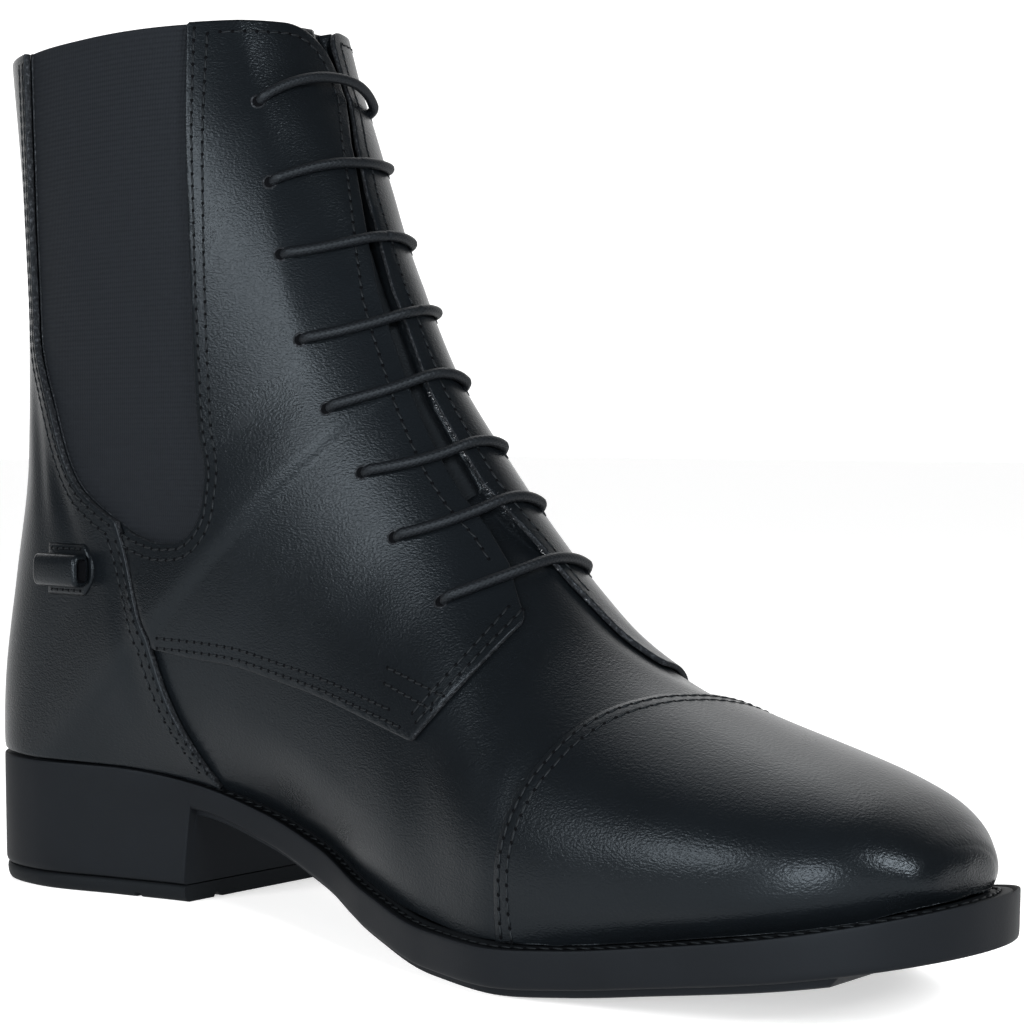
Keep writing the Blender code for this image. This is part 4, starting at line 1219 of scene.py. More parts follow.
bm = bmesh.new()
for bar in LACE_BARS:
    for s, t in (bar[0:2], bar[2:4]):
        ring = bmesh.ops.create_circle(
            bm, segments=8, radius=EYELET_RIM,
            matrix=Matrix.Translation((EYELET_RADIUS, 0.0, 0.0)) @ Matrix.Rotation(math.pi / 2.0, 4, "X"),
        )["verts"]
        edges = list({edge for vert in ring for edge in vert.link_edges})
        bmesh.ops.spin(
            bm, geom=ring + edges, cent=(0.0, 0.0, 0.0), axis=(0.0, 0.0, 1.0),
            angle=2.0 * math.pi, steps=EYELET_STEPS, use_merge=True,
        )
        # The dome is painted shade, near black for the dark inside the hole.
        dome = bmesh.ops.create_uvsphere(
            bm, u_segments=14, v_segments=6, radius=1.0,
            matrix=Matrix.Diagonal((EYELET_RADIUS, EYELET_RADIUS, EYELET_RIM, 1.0)),
        )["verts"]
        for face in {face for vert in dome for face in vert.link_faces}:
            face.material_index = 1
        fresh = [vert for vert in bm.verts if not vert.tag]
        matrix = frame_at(np.array(s), np.array(t), PANEL_TOP - EYELET_SINK)
        bmesh.ops.transform(bm, matrix=matrix, verts=fresh)
        for vert in fresh:
            vert.tag = True
make_piece(bm, "eyelet_rims", [cut_edge, hole_shade], closed=True)

# %% [markdown]
# Heel and sole are one moulded rubber unit. Its section is a ring: a flat top, a rounded upper edge,
# an almost upright side and a softened lower edge. The grid takes that ring from the heel to the toe.
# At both ends the ring closes to an upright line. The heel block ends in the breast. Low bars of tread
# lie across the ball, and the tread stops in a small step just short of the toe.

# %% Sole unit
HEEL_BREAST = 72.0
BREAST_SLOPE = 2.0
BREAST_ROUND = 0.5
TOP_LIFT_HEIGHT = 4.0
TREAD_STEP = 1.8
TREAD_TOE_END = 262.0
WELT_START = 66.0
WELT_THICKNESS = 1.8
WELT_FADE = 6.0
LIP_DROP = np.array([0.10, 0.0, 0.0, 0.10, 0.35, 0.8])
SIDE_FOOT = np.array([2.0, 1.1, 0.5, 0.12, 0.0])
TREAD_FALL = np.array([0.0, 0.3, 0.85, 1.0])
SOLE_INSET = np.array([
    6.0, 1.15, 0.95, 0.8, 0.35, 0.12, 0.03, 0.0, 0.1, 0.2, 0.3, 0.38, 0.55, 0.9, 1.4, 2.4, 2.5, 2.7, 3.2,
])
SIDE_PARTS = (0.33, 0.66)
EDGE_ROOM = 8.0
FLOOR_PARTS = 14
SOLE_ROWS = 420
TREAD_PITCH = 9.0
TREAD_GROOVE = 1.3
TREAD_DEPTH = 0.9
TREAD_SPAN = (118.0, 253.0)
TREAD_WALL = 0.6
TREAD_WIDTH = 0.8


def end_spaced(start, stop, count):
    """Stations that crowd towards both ends."""
    return start + (stop - start) * (0.5 - 0.5 * np.cos(np.linspace(0.0, math.pi, count)))


def ring_sheet(stations, ring):
    """Grid rolled up along the stations; ring gives the half widths and heights of one side."""
    inset, height = ring(stations)
    points = inset.shape[1]
    columns = 2 * points - 1
    rows = len(stations) - 1

    def place(u, v):
        row = np.rint(v * rows).astype(int)
        index = np.rint(u * columns).astype(int)
        inner = index < points
        pick = np.where(inner, index, columns - index)
        side = np.where(inner, -1.0, 1.0)
        x = stations[row]
        return np.stack([x, sole_centre(x) + side * inset[row, pick], height[row, pick]], axis=-1)

    return sheet(columns, rows, place)


def tread(x, part):
    """Depth of the tread's cross grooves under the ball; part is the share of the sole's half width."""
    off = np.abs(np.mod(x - TREAD_SPAN[0], TREAD_PITCH) - TREAD_PITCH / 2.0)
    groove = np.clip((TREAD_GROOVE + TREAD_WALL - off) / TREAD_WALL, 0.0, 1.0)
    return TREAD_DEPTH * groove * ((x > TREAD_SPAN[0]) & (x < TREAD_SPAN[1]) & (part < TREAD_WIDTH))


def sole_section(x):
    half = sole_half(x)[:, None]
    rim = sole_rim(x)[:, None]
    welted = np.clip((x - WELT_START) / WELT_FADE, 0.0, 1.0)[:, None]
    ledge = rim - (WELT_THICKNESS + GAP) * welted
    under = along_sole(SOLE_HEIGHT, 2, x)
    heel = np.clip((HEEL_BREAST - x) / BREAST_SLOPE, 0.0, 1.0)
    low = (under + (TOP_LIFT_HEIGHT + GAP - under) * heel)[:, None]
    step = (TREAD_STEP * (1.0 - heel))[:, None]
    block = step * np.clip((TREAD_TOE_END - x) / TREAD_STEP, 0.0, 1.0)[:, None]
    room = np.minimum(half / EDGE_ROOM, 1.0)
    lip = rim - LIP_DROP
    foot = low + step + SIDE_FOOT
    between = [lip[:, -1:] + (foot[:, :1] - lip[:, -1:]) * part for part in SIDE_PARTS]
    tread_edge = low + step - block * TREAD_FALL
    heights = np.concatenate([ledge, ledge, lip, *between, foot, tread_edge], axis=1)
    halves = np.maximum(half - SOLE_INSET * room, 0.0)
    part = np.linspace(1.0, 0.0, FLOOR_PARTS)[1:]
    floor_half = halves[:, -1:] * part
    floor_low = tread_edge[:, -1:] + tread(x[:, None], part)
    zero = np.zeros_like(half)
    return (
        np.concatenate([zero, halves, floor_half], axis=1),
        np.concatenate([ledge, heights, floor_low], axis=1),
    )


breast = HEEL_BREAST - BREAST_SLOPE
sharp = [breast - BREAST_ROUND, breast, HEEL_BREAST, HEEL_BREAST + BREAST_ROUND]
sharp += [TREAD_TOE_END - TREAD_STEP, TREAD_TOE_END]
for off in (TREAD_GROOVE, TREAD_GROOVE + TREAD_WALL):
    for groove in np.arange(TREAD_SPAN[0] + TREAD_PITCH / 2.0, TREAD_SPAN[1], TREAD_PITCH):
        sharp += [groove - off, groove + off]
stations = np.unique(np.concatenate([end_spaced(0.0, LENGTH, SOLE_ROWS), sharp]))
make_piece(
    ring_sheet(stations, sole_section), "moulded_sole_unit", [sole_rubber], ["outsole"],
    closed=True, sharp=42.0,
)

# %% [markdown]
# The top lift is the layer of harder rubber that the heel walks on. It bulges a little where it was
# pressed, and narrow grooves run out to its edge. The grooves are cut by lifting the grid's underside.

# %% Top lift
LIFT_ROWS = 150
LIFT_INSET = 1.2
LIFT_PROFILE = np.array([
    # step out of the edge, height; the sides bulge
    (-2.0, 4.0), (-0.3, 4.0), (0.0, 3.85), (0.35, 3.5), (0.5, 2.8), (0.35, 1.6), (0.0, 0.7), (-0.35, 0.2),
    (-0.9, 0.0),
])
LIFT_PARTS = 40
LIFT_GROOVES_X = (9.0, 56.0)
LIFT_GROOVE_Y = 17.0
LIFT_GROOVE_START = 20.0
LIFT_GROOVE = 0.7
LIFT_WALL = 0.3
LIFT_DEPTH = 1.1


def lift_section(x):
    half = np.maximum(sole_half(x) - LIFT_INSET, 0.0)[:, None]
    halves = np.maximum(half + LIFT_PROFILE[:, 0] * np.minimum(half / EDGE_ROOM, 1.0), 0.0)
    parts = np.linspace(1.0, 0.0, LIFT_PARTS)[1:]
    widths = np.concatenate([np.zeros_like(half), halves, halves[:, -1:] * parts], axis=1)
    heights = np.concatenate([[TOP_LIFT_HEIGHT], LIFT_PROFILE[:, 1], np.zeros(len(parts))])
    across = np.min([np.abs(x - groove) for groove in LIFT_GROOVES_X], axis=0)[:, None]
    lengthwise = np.where(x[:, None] > LIFT_GROOVE_START, np.abs(widths - LIFT_GROOVE_Y), np.inf)
    near = np.minimum(across, lengthwise)
    cut = LIFT_DEPTH * np.clip((LIFT_GROOVE + LIFT_WALL - near) / LIFT_WALL, 0.0, 1.0)
    return widths, np.where(heights < LIFT_DEPTH, np.maximum(heights, cut), heights)


lift_stations = end_spaced(LIFT_INSET / 2.0, 2.0 * breast, 2 * LIFT_ROWS)[:LIFT_ROWS]
walls = [
    groove + way * off
    for groove in LIFT_GROOVES_X for way in (-1.0, 1.0) for off in (LIFT_GROOVE, LIFT_GROOVE + LIFT_WALL)
]
make_piece(
    ring_sheet(np.unique(np.concatenate([lift_stations, [breast], walls])), lift_section), "top_lift_tread",
    [lift_rubber], ["heel_top_lift"], closed=True, capped=True, sharp=40.0,
)

# %% [markdown]
# The welt is the narrow strip between the upper and the edge of the sole. It starts at one side of the
# heel breast, goes round the toe and ends at the other side. It has a rounded outer edge, a channel
# for its stitching and a low bead against the upper. A grid is bent along it and rolled up to a strip.

# %% Welt
WELT_RIM = 1.0
WELT_ROWS = 420
WELT_UNDER = 3.0
WELT_CROWDING = 1.8
WELT_TIP = 6.0
WELT_PROFILE = np.array([
    # share of the way from the outer edge to the inner one, height over the rim
    (0.00, -1.80), (0.00, -0.80), (0.02, -0.50), (0.06, -0.34), (0.12, -0.30), (0.20, -0.32),
    (0.25, -0.50), (0.31, -0.58), (0.37, -0.50), (0.42, -0.25), (0.50, 0.05), (0.60, 0.25), (0.66, 0.10),
    (0.72, -0.20), (1.00, -0.20), (1.00, -1.80),
])


def welt_edges(turn):
    """Outer and inner edge of the welt; turn runs from -1 at the inner heel over 0 at the toe to 1."""
    start = WELT_START + WELT_RIM
    share = 1.0 - np.abs(turn) ** WELT_CROWDING
    side = np.sign(turn)
    x = start + (LENGTH - start) * share
    half = np.maximum(sole_half(x) - WELT_RIM, 0.0)
    outer = np.stack([x - WELT_RIM * share, sole_centre(x) + side * half, sole_rim(x)], axis=-1)
    inner_x = start + (FEATHER_TOE - WELT_UNDER - start) * share
    tip = np.clip((FEATHER_TOE - WELT_UNDER - inner_x) / WELT_TIP, 0.0, 1.0) ** 0.5
    half = feather_half(inner_x, WELT_UNDER) * tip
    inner = np.stack([inner_x, sole_centre(inner_x) + side * half, sole_rim(inner_x)], axis=-1)
    return outer, inner


def welt_place(u, v):
    index = np.rint(u * len(WELT_PROFILE)).astype(int) % len(WELT_PROFILE)
    share, height = WELT_PROFILE[index].T
    outer, inner = welt_edges(1.0 - 2.0 * v)
    place = outer + (inner - outer) * share[:, None]
    place[:, 2] += height
    return place


make_piece(
    sheet(len(WELT_PROFILE), WELT_ROWS, welt_place), "welt_strip", [welt_rubber], ["welt"],
    closed=True, capped=True,
)

# %% [markdown]
# Inside lies the insole with its leather sock, a little cupped so that it meets the walls. Only its
# top shows, through the collar, so a grid with a wall is enough.

# %% Insole
INSOLE_GRID = (36, 160)
INSOLE_THICKNESS = 3.0
INSOLE_CLEARANCE = 5.6
INSOLE_CUP = 1.2
INSOLE_TIP = 1.5


def insole_place(u, v):
    start, stop = FEATHER_HEEL + INSOLE_CLEARANCE, FEATHER_TOE - 2.0 * INSOLE_CLEARANCE
    x = start + (stop - start) * (0.5 - 0.5 * np.cos(math.pi * v))
    half = np.maximum(feather_half(x) - INSOLE_CLEARANCE, INSOLE_TIP)
    across = 1.0 - 2.0 * u
    z = sole_rim(x) + GAP + INSOLE_THICKNESS + INSOLE_CUP * across ** 4
    return np.stack([x, sole_centre(x) - across * half, z], axis=-1)


bm = sheet(*INSOLE_GRID, insole_place)
bmesh.ops.reverse_faces(bm, faces=[face for face in bm.faces if face.normal.z < 0.0])
make_piece(bm, "insole_sock", [lining_pigskin], ["insole"], wall=INSOLE_THICKNESS, edge=0.5)

# %% [markdown]
# A spur strap rests on two short leather bars at the back of the heel. Each is a strip rolled up and
# sewn down by two small wings at its front end, where the hollow of the roll shows. A cylinder pressed
# to a flatter section gives the roll, with its ends inset and pushed in; the pushed-in ends are painted
# shade, near black for the dark inside the hollow. The wings are one thin grid on the counter, skived to
# nothing at its edge.

# %% Spur rests and their wings
SPUR_S, SPUR_T = 0.737, 0.549
SPUR_SIZE = (16.5, 8.0, 5.0)
SPUR_STAND_OFF = 0.6
SPUR_SQUARE = 2.0 / 3.2
SPUR_SEGMENTS = 32
SPUR_WALL = 1.3
SPUR_HOLLOW = 1.4
SPUR_AHEAD = 2.0
SPUR_ROUND = 1.1
WING_GRID = (26, 18)
WING_STAND_OFF = 0.15
WING_LEATHER = 0.7
WING_REAR, WING_FRONT = -7.0, 10.6
WING_HALF = 6.3
WING_CURVE = 3.4
WING_SKIVE = 0.22


def spur_frame(side):
    """Point on the last, and the directions along, up and out of a spur rest."""
    s, t = np.array(SPUR_S), np.array(side * SPUR_T)
    out = last_normal(s, t)
    along = np.cross((0.0, 0.0, 1.0), out)
    along /= np.linalg.norm(along)
    return last_surface(s, t), along, np.cross(out, along), out


def make_roll(side, word):
    length, height, depth = SPUR_SIZE
    bm = bmesh.new()
    bmesh.ops.create_cone(
        bm, cap_ends=True, segments=SPUR_SEGMENTS, radius1=1.0, radius2=1.0, depth=length,
        matrix=Matrix.Rotation(math.pi / 2.0, 4, "Y"),
    )
    for vert in bm.verts:
        y, z = [math.copysign(abs(c) ** SPUR_SQUARE, c) for c in vert.co[1:]]
        vert.co[1:] = (y * height / 2.0, z * depth / 2.0)
    bm.normal_update()
    ends = [face for face in bm.faces if len(face.verts) > 4]
    rims = [edge for face in ends for edge in face.edges]
    bmesh.ops.bevel(bm, geom=rims, offset=SPUR_ROUND, affect="EDGES", segments=4, profile=0.5, material=-1)
    bm.normal_update()
    ends = [face for face in bm.faces if len(face.verts) > 4]
    bmesh.ops.inset_individual(bm, faces=ends, thickness=SPUR_WALL, depth=0.0)
    # The pushed-in ends take the painted shade of the hollow.
    for face in ends:
        for near in {near for edge in face.edges for near in edge.link_faces}:
            near.material_index = 1
        inwards = -math.copysign(SPUR_HOLLOW, face.calc_center_median().x)
        bmesh.ops.translate(bm, verts=face.verts[:], vec=(inwards, 0.0, 0.0))
    point, along, up, out = spur_frame(side)
    place = point - side * along * SPUR_AHEAD + out * (COUNTER_TOP + GAP + SPUR_STAND_OFF + depth / 2.0)
    bmesh.ops.transform(bm, matrix=axes_matrix(place, (along, up, out)), verts=bm.verts[:])
    make_piece(
        bm, word + "_spur_rest_roll", [smooth_cowhide, hole_shade],
        ["spur_rest_" + word], closed=True, sharp=50.0,
    )


def wing_place(side, u, v):
    """Place on the wings and direction out: u runs from the rear to the rounded front, v upwards."""
    point, along, up, out = spur_frame(side)
    aside = 2.0 * v - 1.0
    ahead = WING_REAR + (WING_FRONT - WING_CURVE * aside ** 2 - WING_REAR) * u
    flat = point - side * along * ahead[:, None] + up * (WING_HALF * aside)[:, None]
    s, t = from_side(flat[:, 0], flat[:, 2], side)
    to_edge = np.minimum(np.minimum(u, 1.0 - u), np.minimum(v, 1.0 - v))
    rise = np.clip(to_edge / WING_SKIVE, 0.0, 1.0)
    height = COUNTER_TOP + WING_STAND_OFF + WING_LEATHER * np.sqrt(rise * (2.0 - rise))
    return skin(s, t, height), last_normal(s, t)


def make_wings(side, word):
    make_piece(
        sheet(*WING_GRID, lambda u, v: wing_place(side, u if side < 0 else 1.0 - u, v)[0]),
        word + "_spur_rest_wings", [smooth_cowhide, cut_edge], wall=WING_LEATHER,
    )


for side, word in SIDES:
    make_roll(side, word)
    make_wings(side, word)

# %% [markdown]
# The seam up the back ends under two short tabs of leather, one folded over the collar and one above
# the sole. They are small grids on the counter, laid round the seam.

# %% Back tabs
TAB_GRID = (20, 24)
TAB_HALF = 5.0
TAB_ROUND = 32.0
TAB_LEATHER = 0.8
TABS = (("upper_back_tab", 191.0, 206.2), ("lower_back_tab", 33.2, 47.5))


def make_tab(name, low, high):
    def place(u, v):
        level = low + v * (high - low)
        across = TAB_HALF * (1.0 - 2.0 * u)
        seam = np.interp(level, BACK_SEAM[1], BACK_SEAM[0])
        length, power = [smooth(BACK_ROUNDING[:, 0], BACK_ROUNDING[:, i], level) for i in (1, 2)]
        width = np.clip(np.abs(across) / TAB_ROUND, 0.0, 1.0)
        x = seam + length * (1.0 - (1.0 - width ** power) ** (1.0 / power))
        s, t = from_side(x, level, np.where(across < 0.0, -1.0, 1.0))
        return skin(s, t, COUNTER_TOP + TAB_LEATHER)

    make_piece(
        sheet(*TAB_GRID, place), name, [smooth_cowhide, cut_edge],
        wall=TAB_LEATHER, edge=0.3,
    )


for tab in TABS:
    make_tab(*tab)

# %% [markdown]
# Seams are what makes a boot read as sewn. A row of lockstitch is short threads that dip into needle
# holes about three millimetres apart. Each thread is a long thin sphere with its poles in the leather,
# and each hole a flat near-black one, painted shade for the dark inside the hole. They are small shapes,
# repeated along a path on the panel.

# %% How a row is sewn
STITCH = 2.9
THREAD_LENGTH = 2.5
THREAD_WIDTH = 0.62
THREAD_HEIGHT = 0.5
HOLE = 0.95
HOLE_HEIGHT = 0.16
SLANT = 0.12
SEW_PROBE = 0.5
SEW_SPARE = 0.01
# A hole ball takes the piece's second finish, the painted shade of a needle hole.
THREAD_BALL, HOLE_BALL = 0, 1


def small_ball(material):
    """A ball of few faces and unit width, to be copied along the rows."""
    bm = bmesh.new()
    bmesh.ops.create_uvsphere(bm, u_segments=6, v_segments=5, radius=0.5)
    for face in bm.faces:
        face.material_index = material
    mesh = bpy.data.meshes.new("small_ball")
    bm.to_mesh(mesh)
    bm.free()
    return mesh


BALLS = [small_ball(material) for material in (THREAD_BALL, HOLE_BALL)]


def place_ball(bm, point, axes, sizes, material):
    """Adds a ball with its poles along the last axis."""
    ball = BALLS[material].copy()
    ball.transform(axes_matrix(point, axes, sizes))
    bm.from_mesh(ball)
    bpy.data.meshes.remove(ball)


def sew(bm, path, out, pitch, scale):
    """Sews a row of threads and holes along a path on the leather; returns the number of stitches."""
    run = arc_length(path)
    count = int(run[-1] / pitch)
    start = (run[-1] - count * pitch) / 2.0
    for step in range(count + 1):
        for part, kind in ((0.0, HOLE_BALL), (0.5, THREAD_BALL)):
            where = start + (step + part) * pitch
            if where > run[-1] + SEW_SPARE:
                continue
            point, normal, before, after = [
                np.array([np.interp(place, run, values[:, i]) for i in range(3)])
                for place, values in (
                    (where, path), (where, out), (where - SEW_PROBE, path), (where + SEW_PROBE, path),
                )
            ]
            normal /= np.linalg.norm(normal)
            ahead = after - before
            ahead -= (ahead @ normal) * normal
            ahead /= np.linalg.norm(ahead)
            aside = np.cross(normal, ahead)
            if kind == HOLE_BALL:
                sizes = (HOLE * scale, HOLE_HEIGHT, HOLE * scale)
            else:
                ahead = ahead + SLANT * aside
                ahead /= np.linalg.norm(ahead)
                aside = np.cross(normal, ahead)
                sizes = (THREAD_WIDTH * scale, THREAD_HEIGHT, THREAD_LENGTH * pitch / STITCH)
            place_ball(bm, point, (aside, normal, ahead), sizes, kind)
    return count


def beside(curve, distance):
    """Curve moved sideways to the left of its direction, or to the right by a negative distance."""
    ahead = np.gradient(curve, axis=0)
    ahead /= np.linalg.norm(ahead, axis=1, keepdims=True)
    return curve + distance * np.stack([-ahead[:, 1], ahead[:, 0]], axis=-1)


def on_side(curve, side, offset):
    """Path on the leather, and the direction out of it, under a curve seen from the side."""
    s, t = from_side(curve[:, 0], curve[:, 1], side)
    return skin(s, t, offset), last_normal(s, t)


print("a stitch is", STITCH, "mm long")

# %% [markdown]
# Two rows run round each gore, down the counter's front edge and along the foot and the nose of the
# quarter. One row follows the facing, turns with the corner at the collar and goes back to the gore.
# Short rows hold the nose, and one more goes along each wing of the spur rest.

# %% Stitching of the sides and the spur rests
ROWS_BESIDE = (1.5, 3.9)
COLLAR_CLEAR = 1.5
COUNTER_ROW = (31.5, 88.0)
QUARTER_ROW_IN = 0.3
FOOT_ROW_START = 71.0
NOSE_CLEAR = 1.0
NOSE_ROW_TOP = {"inner": 76.0, "outer": 56.0}
FINE_STITCH = 2.4
TACK = (((144.5, 62.0), (163.5, 57.0)), ((144.0, 58.8), (161.5, 54.0)))
WING_ROWS = (0.1, 0.9)
WING_ROW_POINTS = 30
WING_STITCH = 2.2
FACING_INSET = 3.0
FACING_ROW = {
    # how far the row goes below the collar, and back along the collar
    "inner": (130.0, 27.0),
    "outer": (138.0, 20.0),
}
FACING_STEPS, CORNER_STEPS, COLLAR_STEPS = 150, 24, 20
FACING_ROUNDS = 14
FACING_GUESS = 270.0
FACING_FROM = 0.37
LEAST_BEND = 0.6
THROAT_REACH = np.linspace(-0.13, 0.5, 200)


def beside_throat(s, aside, side):
    """t of places at this distance from the edge of one facing."""
    reach = THROAT_REACH * side
    inner, outer = throat_edges(s)
    target = inner - aside if side < 0 else outer + aside
    across = side * last_surface(s[:, None], reach[None, :])[..., 1]
    return np.array([np.interp(side * y, row, reach) for y, row in zip(target, across)])


def facing_row(side, word):
    """s and t of the row along the facing, round the collar's corner and back to the gore."""
    drop, back = FACING_ROW[word]
    radius = COLLAR_RADIUS[word]
    bend = max(radius - FACING_INSET, LEAST_BEND)
    turn = np.linspace(0.0, math.pi / 2.0, CORNER_STEPS)
    down = np.linspace(drop, radius, FACING_STEPS)
    aside = np.concatenate([
        np.full(FACING_STEPS, FACING_INSET), radius - bend * np.cos(turn),
        np.linspace(radius, back, COLLAR_STEPS),
    ])
    below = np.concatenate([down, radius - bend * np.sin(turn), np.full(COLLAR_STEPS, FACING_INSET)])
    s = 1.0 - below / FACING_GUESS
    for _ in range(FACING_ROUNDS):
        t = beside_throat(s, aside, side)
        point = last_surface(s, t)
        s = np.clip(s + (collar(point[:, 0]) - below - point[:, 2]) / FLAT_S, FACING_FROM, 1.0)
    return s, t


def limited(row, axis, low, high):
    """Part of a row that lies between two values of x (axis 0) or height (axis 1)."""
    return row[(row[:, axis] > low) & (row[:, axis] < high)]


def side_rows(side, word):
    """Rows of one side: path on the leather with the direction out, and length of a stitch."""
    nose = quarter_nose[word]
    counter_end = int(np.argmin(np.linalg.norm(gore_edge - counter_edge[-1], axis=1)))
    for distance in ROWS_BESIDE:
        for part, height in ((gore_edge[:counter_end], COUNTER_TOP), (gore_edge[counter_end:], PANEL_TOP)):
            row = beside(part, -distance)
            yield on_side(row[row[:, 1] < collar(row[:, 0]) - COLLAR_CLEAR], side, height), STITCH
        row = limited(beside(counter_edge, distance), 1, *COUNTER_ROW)
        yield on_side(row, side, COUNTER_TOP), STITCH
        foot_end = QUARTER_FOOT[-1][0] - 2.0 * distance
        row = limited(beside(quarter_foot, distance + QUARTER_ROW_IN), 0, FOOT_ROW_START, foot_end)
        yield on_side(row, side, PANEL_TOP), FINE_STITCH
        nose_from = nose[0, 1] + NOSE_CLEAR + distance
        row = limited(beside(nose, distance + QUARTER_ROW_IN), 1, nose_from, NOSE_ROW_TOP[word])
        yield on_side(row, side, PANEL_TOP), STITCH
    s, t = facing_row(side, word)
    yield (skin(s, t, PANEL_TOP), last_normal(s, t)), STITCH
    for ends in TACK:
        yield on_side(curve_through(ends), side, PANEL_TOP), FINE_STITCH
    along = np.linspace(*WING_ROWS, WING_ROW_POINTS)
    for level in WING_ROWS:
        yield wing_place(side, along, np.full(WING_ROW_POINTS, level)), WING_STITCH


def sew_piece(name, rows, scale=1.0):
    bm = bmesh.new()
    count = sum(sew(bm, *path, pitch, scale) for path, pitch in rows)
    make_piece(bm, name, [polyester_thread, hole_shade], closed=True)
    print(name, "has", count, "stitches")


for side, word in SIDES:
    sew_piece(word + "_side_stitching", side_rows(side, word))

# %% [markdown]
# Two rows hold the toe cap, just ahead of its edge. The welt has one row of heavier thread in its
# channel, which on the real boot joins welt and sole.

# %% Stitching of the toe cap and the welt
CAP_ROW_ROUND = np.linspace(-0.985, 0.985, 260)
WELT_STITCH = 3.1
WELT_THREAD = 1.3
WELT_ROW = 0.31
WELT_ROW_HEIGHT = -0.15
WELT_ROW_TURN = np.linspace(0.98, -0.98, 700)


def cap_row(ahead):
    s, t = cap_section(CAP_ROW_ROUND, ahead), CAP_ROW_ROUND
    return skin(s, t, PANEL_TOP), last_normal(s, t)


sew_piece("toe_cap_stitching", [(cap_row(ahead), STITCH) for ahead in ROWS_BESIDE])
outer_edge, inner_edge = welt_edges(WELT_ROW_TURN)
welt_line = outer_edge + (inner_edge - outer_edge) * WELT_ROW + np.array([0.0, 0.0, WELT_ROW_HEIGHT])
upwards = np.tile([0.0, 0.0, 1.0], (len(welt_line), 1))
sew_piece("welt_stitching", [((welt_line, upwards), WELT_STITCH)], WELT_THREAD)

# %% [markdown]
# The facings and the tongue are cut through the raw flesh side of the leather, and pale fibres stand out
# of the cut there. Each fibre is one of the small balls again, drawn out thin and turned by a seeded
# random number, so the fluff is the same in every run.

# %% Fluff on the cut edges
FIBRE_THICK = 0.16
FIBRE_LENGTH = (0.8, 2.2)
FLUFF = (
    # s from, s to, distance from the outer facing's edge, height over the leather, number of fibres
    (0.505, 0.530, 0.1, 1.0, 34), (0.545, 0.615, 0.0, 0.8, 70), (0.425, 0.500, 0.0, 0.8, 30),
)
FACING_SPREAD = (0.0, 0.5)
TONGUE_FLUFF = 45
TONGUE_FLUFF_ROUND = (-0.16, 0.02)
TONGUE_FLUFF_HEIGHT = (-4.4, -2.6)
chance = np.random.default_rng(5)


def grow(bm, points):
    for point in points:
        axes = np.linalg.qr(chance.normal(size=(3, 3)))[0].T
        sizes = (FIBRE_THICK, FIBRE_THICK, chance.uniform(*FIBRE_LENGTH))
        place_ball(bm, point, axes, sizes, THREAD_BALL)


bm = bmesh.new()
for low, high, aside, height, number in FLUFF:
    s = chance.uniform(low, high, number)
    t = beside_throat(s, aside + chance.uniform(*FACING_SPREAD, number), 1)
    grow(bm, skin(s, t, height))
make_piece(bm, "facing_fluff", [flesh_fluff], closed=True)
bm = bmesh.new()
t = chance.uniform(*TONGUE_FLUFF_ROUND, TONGUE_FLUFF)
height = chance.uniform(*TONGUE_FLUFF_HEIGHT, TONGUE_FLUFF)
grow(bm, skin(np.full(TONGUE_FLUFF, TONGUE_END), t, height))
make_piece(bm, "tongue_fluff", [flesh_fluff], closed=True)
print("fibres:", sum(row[-1] for row in FLUFF) + TONGUE_FLUFF)

# %% [markdown]
# The boot stands on a plain pale table, lit a little from below as in a product studio, which keeps the
# shadow light. It isn't part of the boot, so it is marked as stage.

# %% Floor
FLOOR_HALF = 6.0
FLOOR_GAP = 0.05
GLOW = 0.52
bm = bmesh.new()
bmesh.ops.create_grid(
    bm, x_segments=1, y_segments=1, size=FLOOR_HALF, matrix=Matrix.Translation((0.0, 0.0, -FLOOR_GAP * MM)),
)
mesh = bpy.data.meshes.new("floor")
bm.to_mesh(mesh)
bm.free()
floor = bpy.data.objects.new("floor", mesh)
bpy.context.scene.collection.objects.link(floor)
mesh.materials.append(new_finish(
    "pale_light_table", Base_Color=linear("#e8e8e8"), Roughness=0.9,
    Emission_Color=(1.0, 1.0, 1.0, 1.0), Emission_Strength=GLOW,
)[0])
floor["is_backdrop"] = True
print("floor is", 2.0 * FLOOR_HALF, "m wide")

# %% [markdown]
# Black leather shows its shape almost only by what it reflects. Two tall softboxes, one on each side of
# the camera, give the two highlights on the toe, and a third one nearer the heel gives the highlight up
# the shaft. A broad light from behind brightens the table. The wall behind the boot is bright and the
# room on the camera's side is dark: the wall draws the thin bright rim and the sheen on top of the cap.

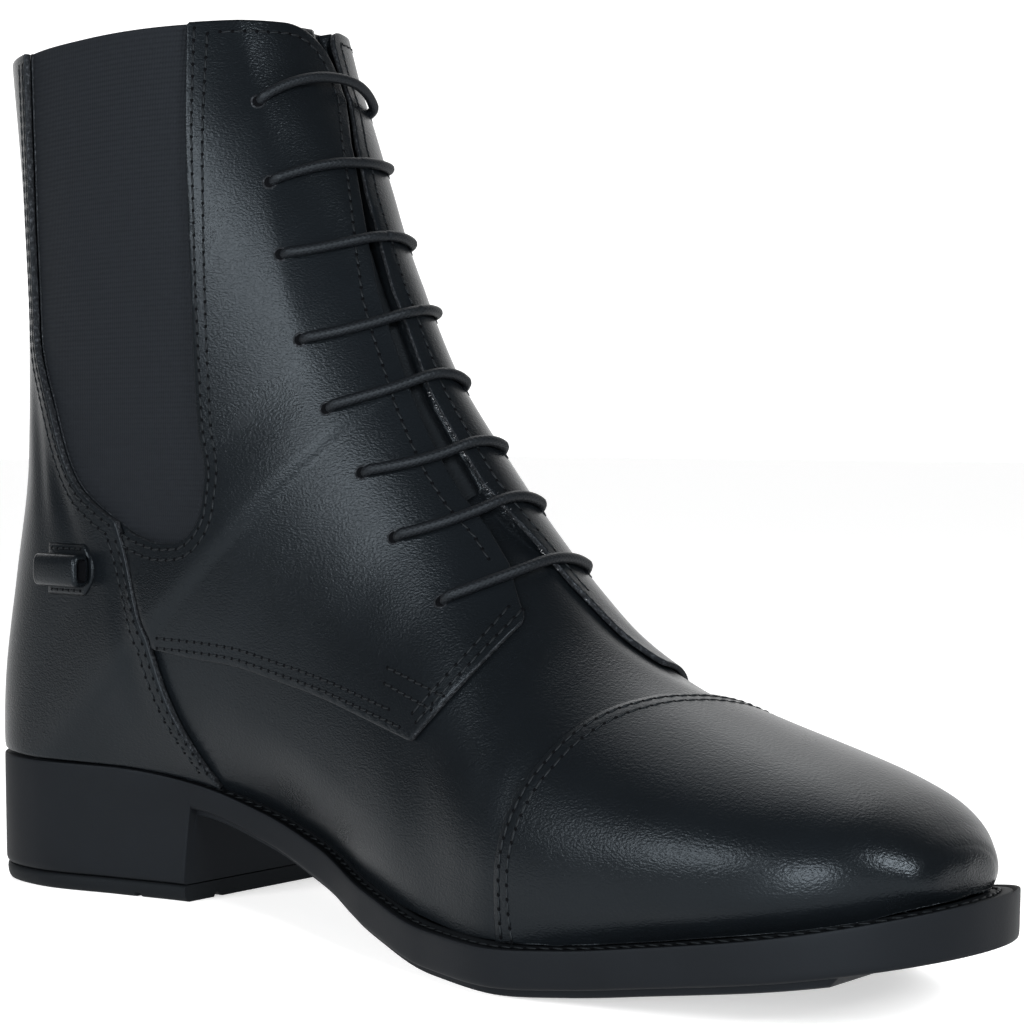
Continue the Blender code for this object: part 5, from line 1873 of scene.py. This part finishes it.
# %% Light
SOFTBOXES = (
    # name, place, aim, width, height, power
    ("inner_softbox", (540.0, -760.0, 150.0), (250.0, -20.0, 45.0), 260.0, 290.0, 7.5),
    ("toe_softbox", (967.0, -183.0, 497.0), (270.0, -20.0, 35.0), 220.0, 300.0, 9.5),
    ("shaft_softbox", (-30.0, -735.0, 345.0), (97.0, -24.0, 150.0), 330.0, 230.0, 4.8),
)
SKY_FROM = (math.radians(-140.0), math.radians(48.0))
SKY_WIDTH = math.radians(50.0)
SKY_STRENGTH = 0.8
SKY_AWAY = 1000.0
ROOM_FRONT, ROOM_BACK = 0.12, 1.4
ROOM_TURN = (0.35, 0.85)


def aim_lamp(light, place, direction):
    lamp = bpy.data.objects.new(light.name, light)
    bpy.context.scene.collection.objects.link(lamp)
    lamp.location = to_frame(place)
    lamp.rotation_mode = "QUATERNION"
    lamp.rotation_quaternion = Vector(direction).to_track_quat("-Z", "Y")


for name, place, aim, width, height, power in SOFTBOXES:
    light = bpy.data.lights.new(name, "AREA")
    light.shape = "RECTANGLE"
    light.size, light.size_y = width * MM, height * MM
    light.energy = power
    aim_lamp(light, place, np.array(aim) - np.array(place))
sun = bpy.data.lights.new("broad_back_light", "SUN")
sun.energy = SKY_STRENGTH
sun.angle = SKY_WIDTH
azimuth, height = SKY_FROM
level = math.cos(height)
toward = np.array([level * math.cos(azimuth), -level * math.sin(azimuth), math.sin(height)])
aim_lamp(sun, toward * SKY_AWAY, -toward)

world = bpy.data.worlds.new("studio_room")
bpy.context.scene.world = world
world.use_nodes = True
tree = world.node_tree
direction = add_node(tree, "ShaderNodeTexCoord").outputs["Generated"]
behind = add_node(
    tree, "ShaderNodeVectorMath", {1: (look.x, look.y, 0.0)}, {0: direction}, operation="DOT_PRODUCT",
)
shade = ranged(tree, behind.outputs["Value"], to=(ROOM_FRONT, ROOM_BACK), source=ROOM_TURN)
seen = add_node(tree, "ShaderNodeLightPath").outputs["Is Camera Ray"]
strength = add_node(tree, "ShaderNodeMath", links={0: shade, 1: seen}, operation="MAXIMUM")
tree.links.new(strength.outputs["Value"], tree.nodes["Background"].inputs["Strength"])
tree.nodes["Background"].inputs["Color"].default_value = (1.0, 1.0, 1.0, 1.0)
bpy.context.scene.view_settings.view_transform = "Standard"
print("lamps:", [light.name for light in bpy.data.lights])

# %% [markdown]
# Last, the size is measured again. The leather stands about a millimetre past the plain solids of the
# frame in places, and the two boxes are left as the cell's value so that they can be compared.

# %% Size and end
low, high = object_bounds()
print("size, mm:", [round((b - a) / MM, 1) for a, b in zip(low, high)])
{"cad": [list(cad_low), list(cad_high)], "visual": [list(low), list(high)]}
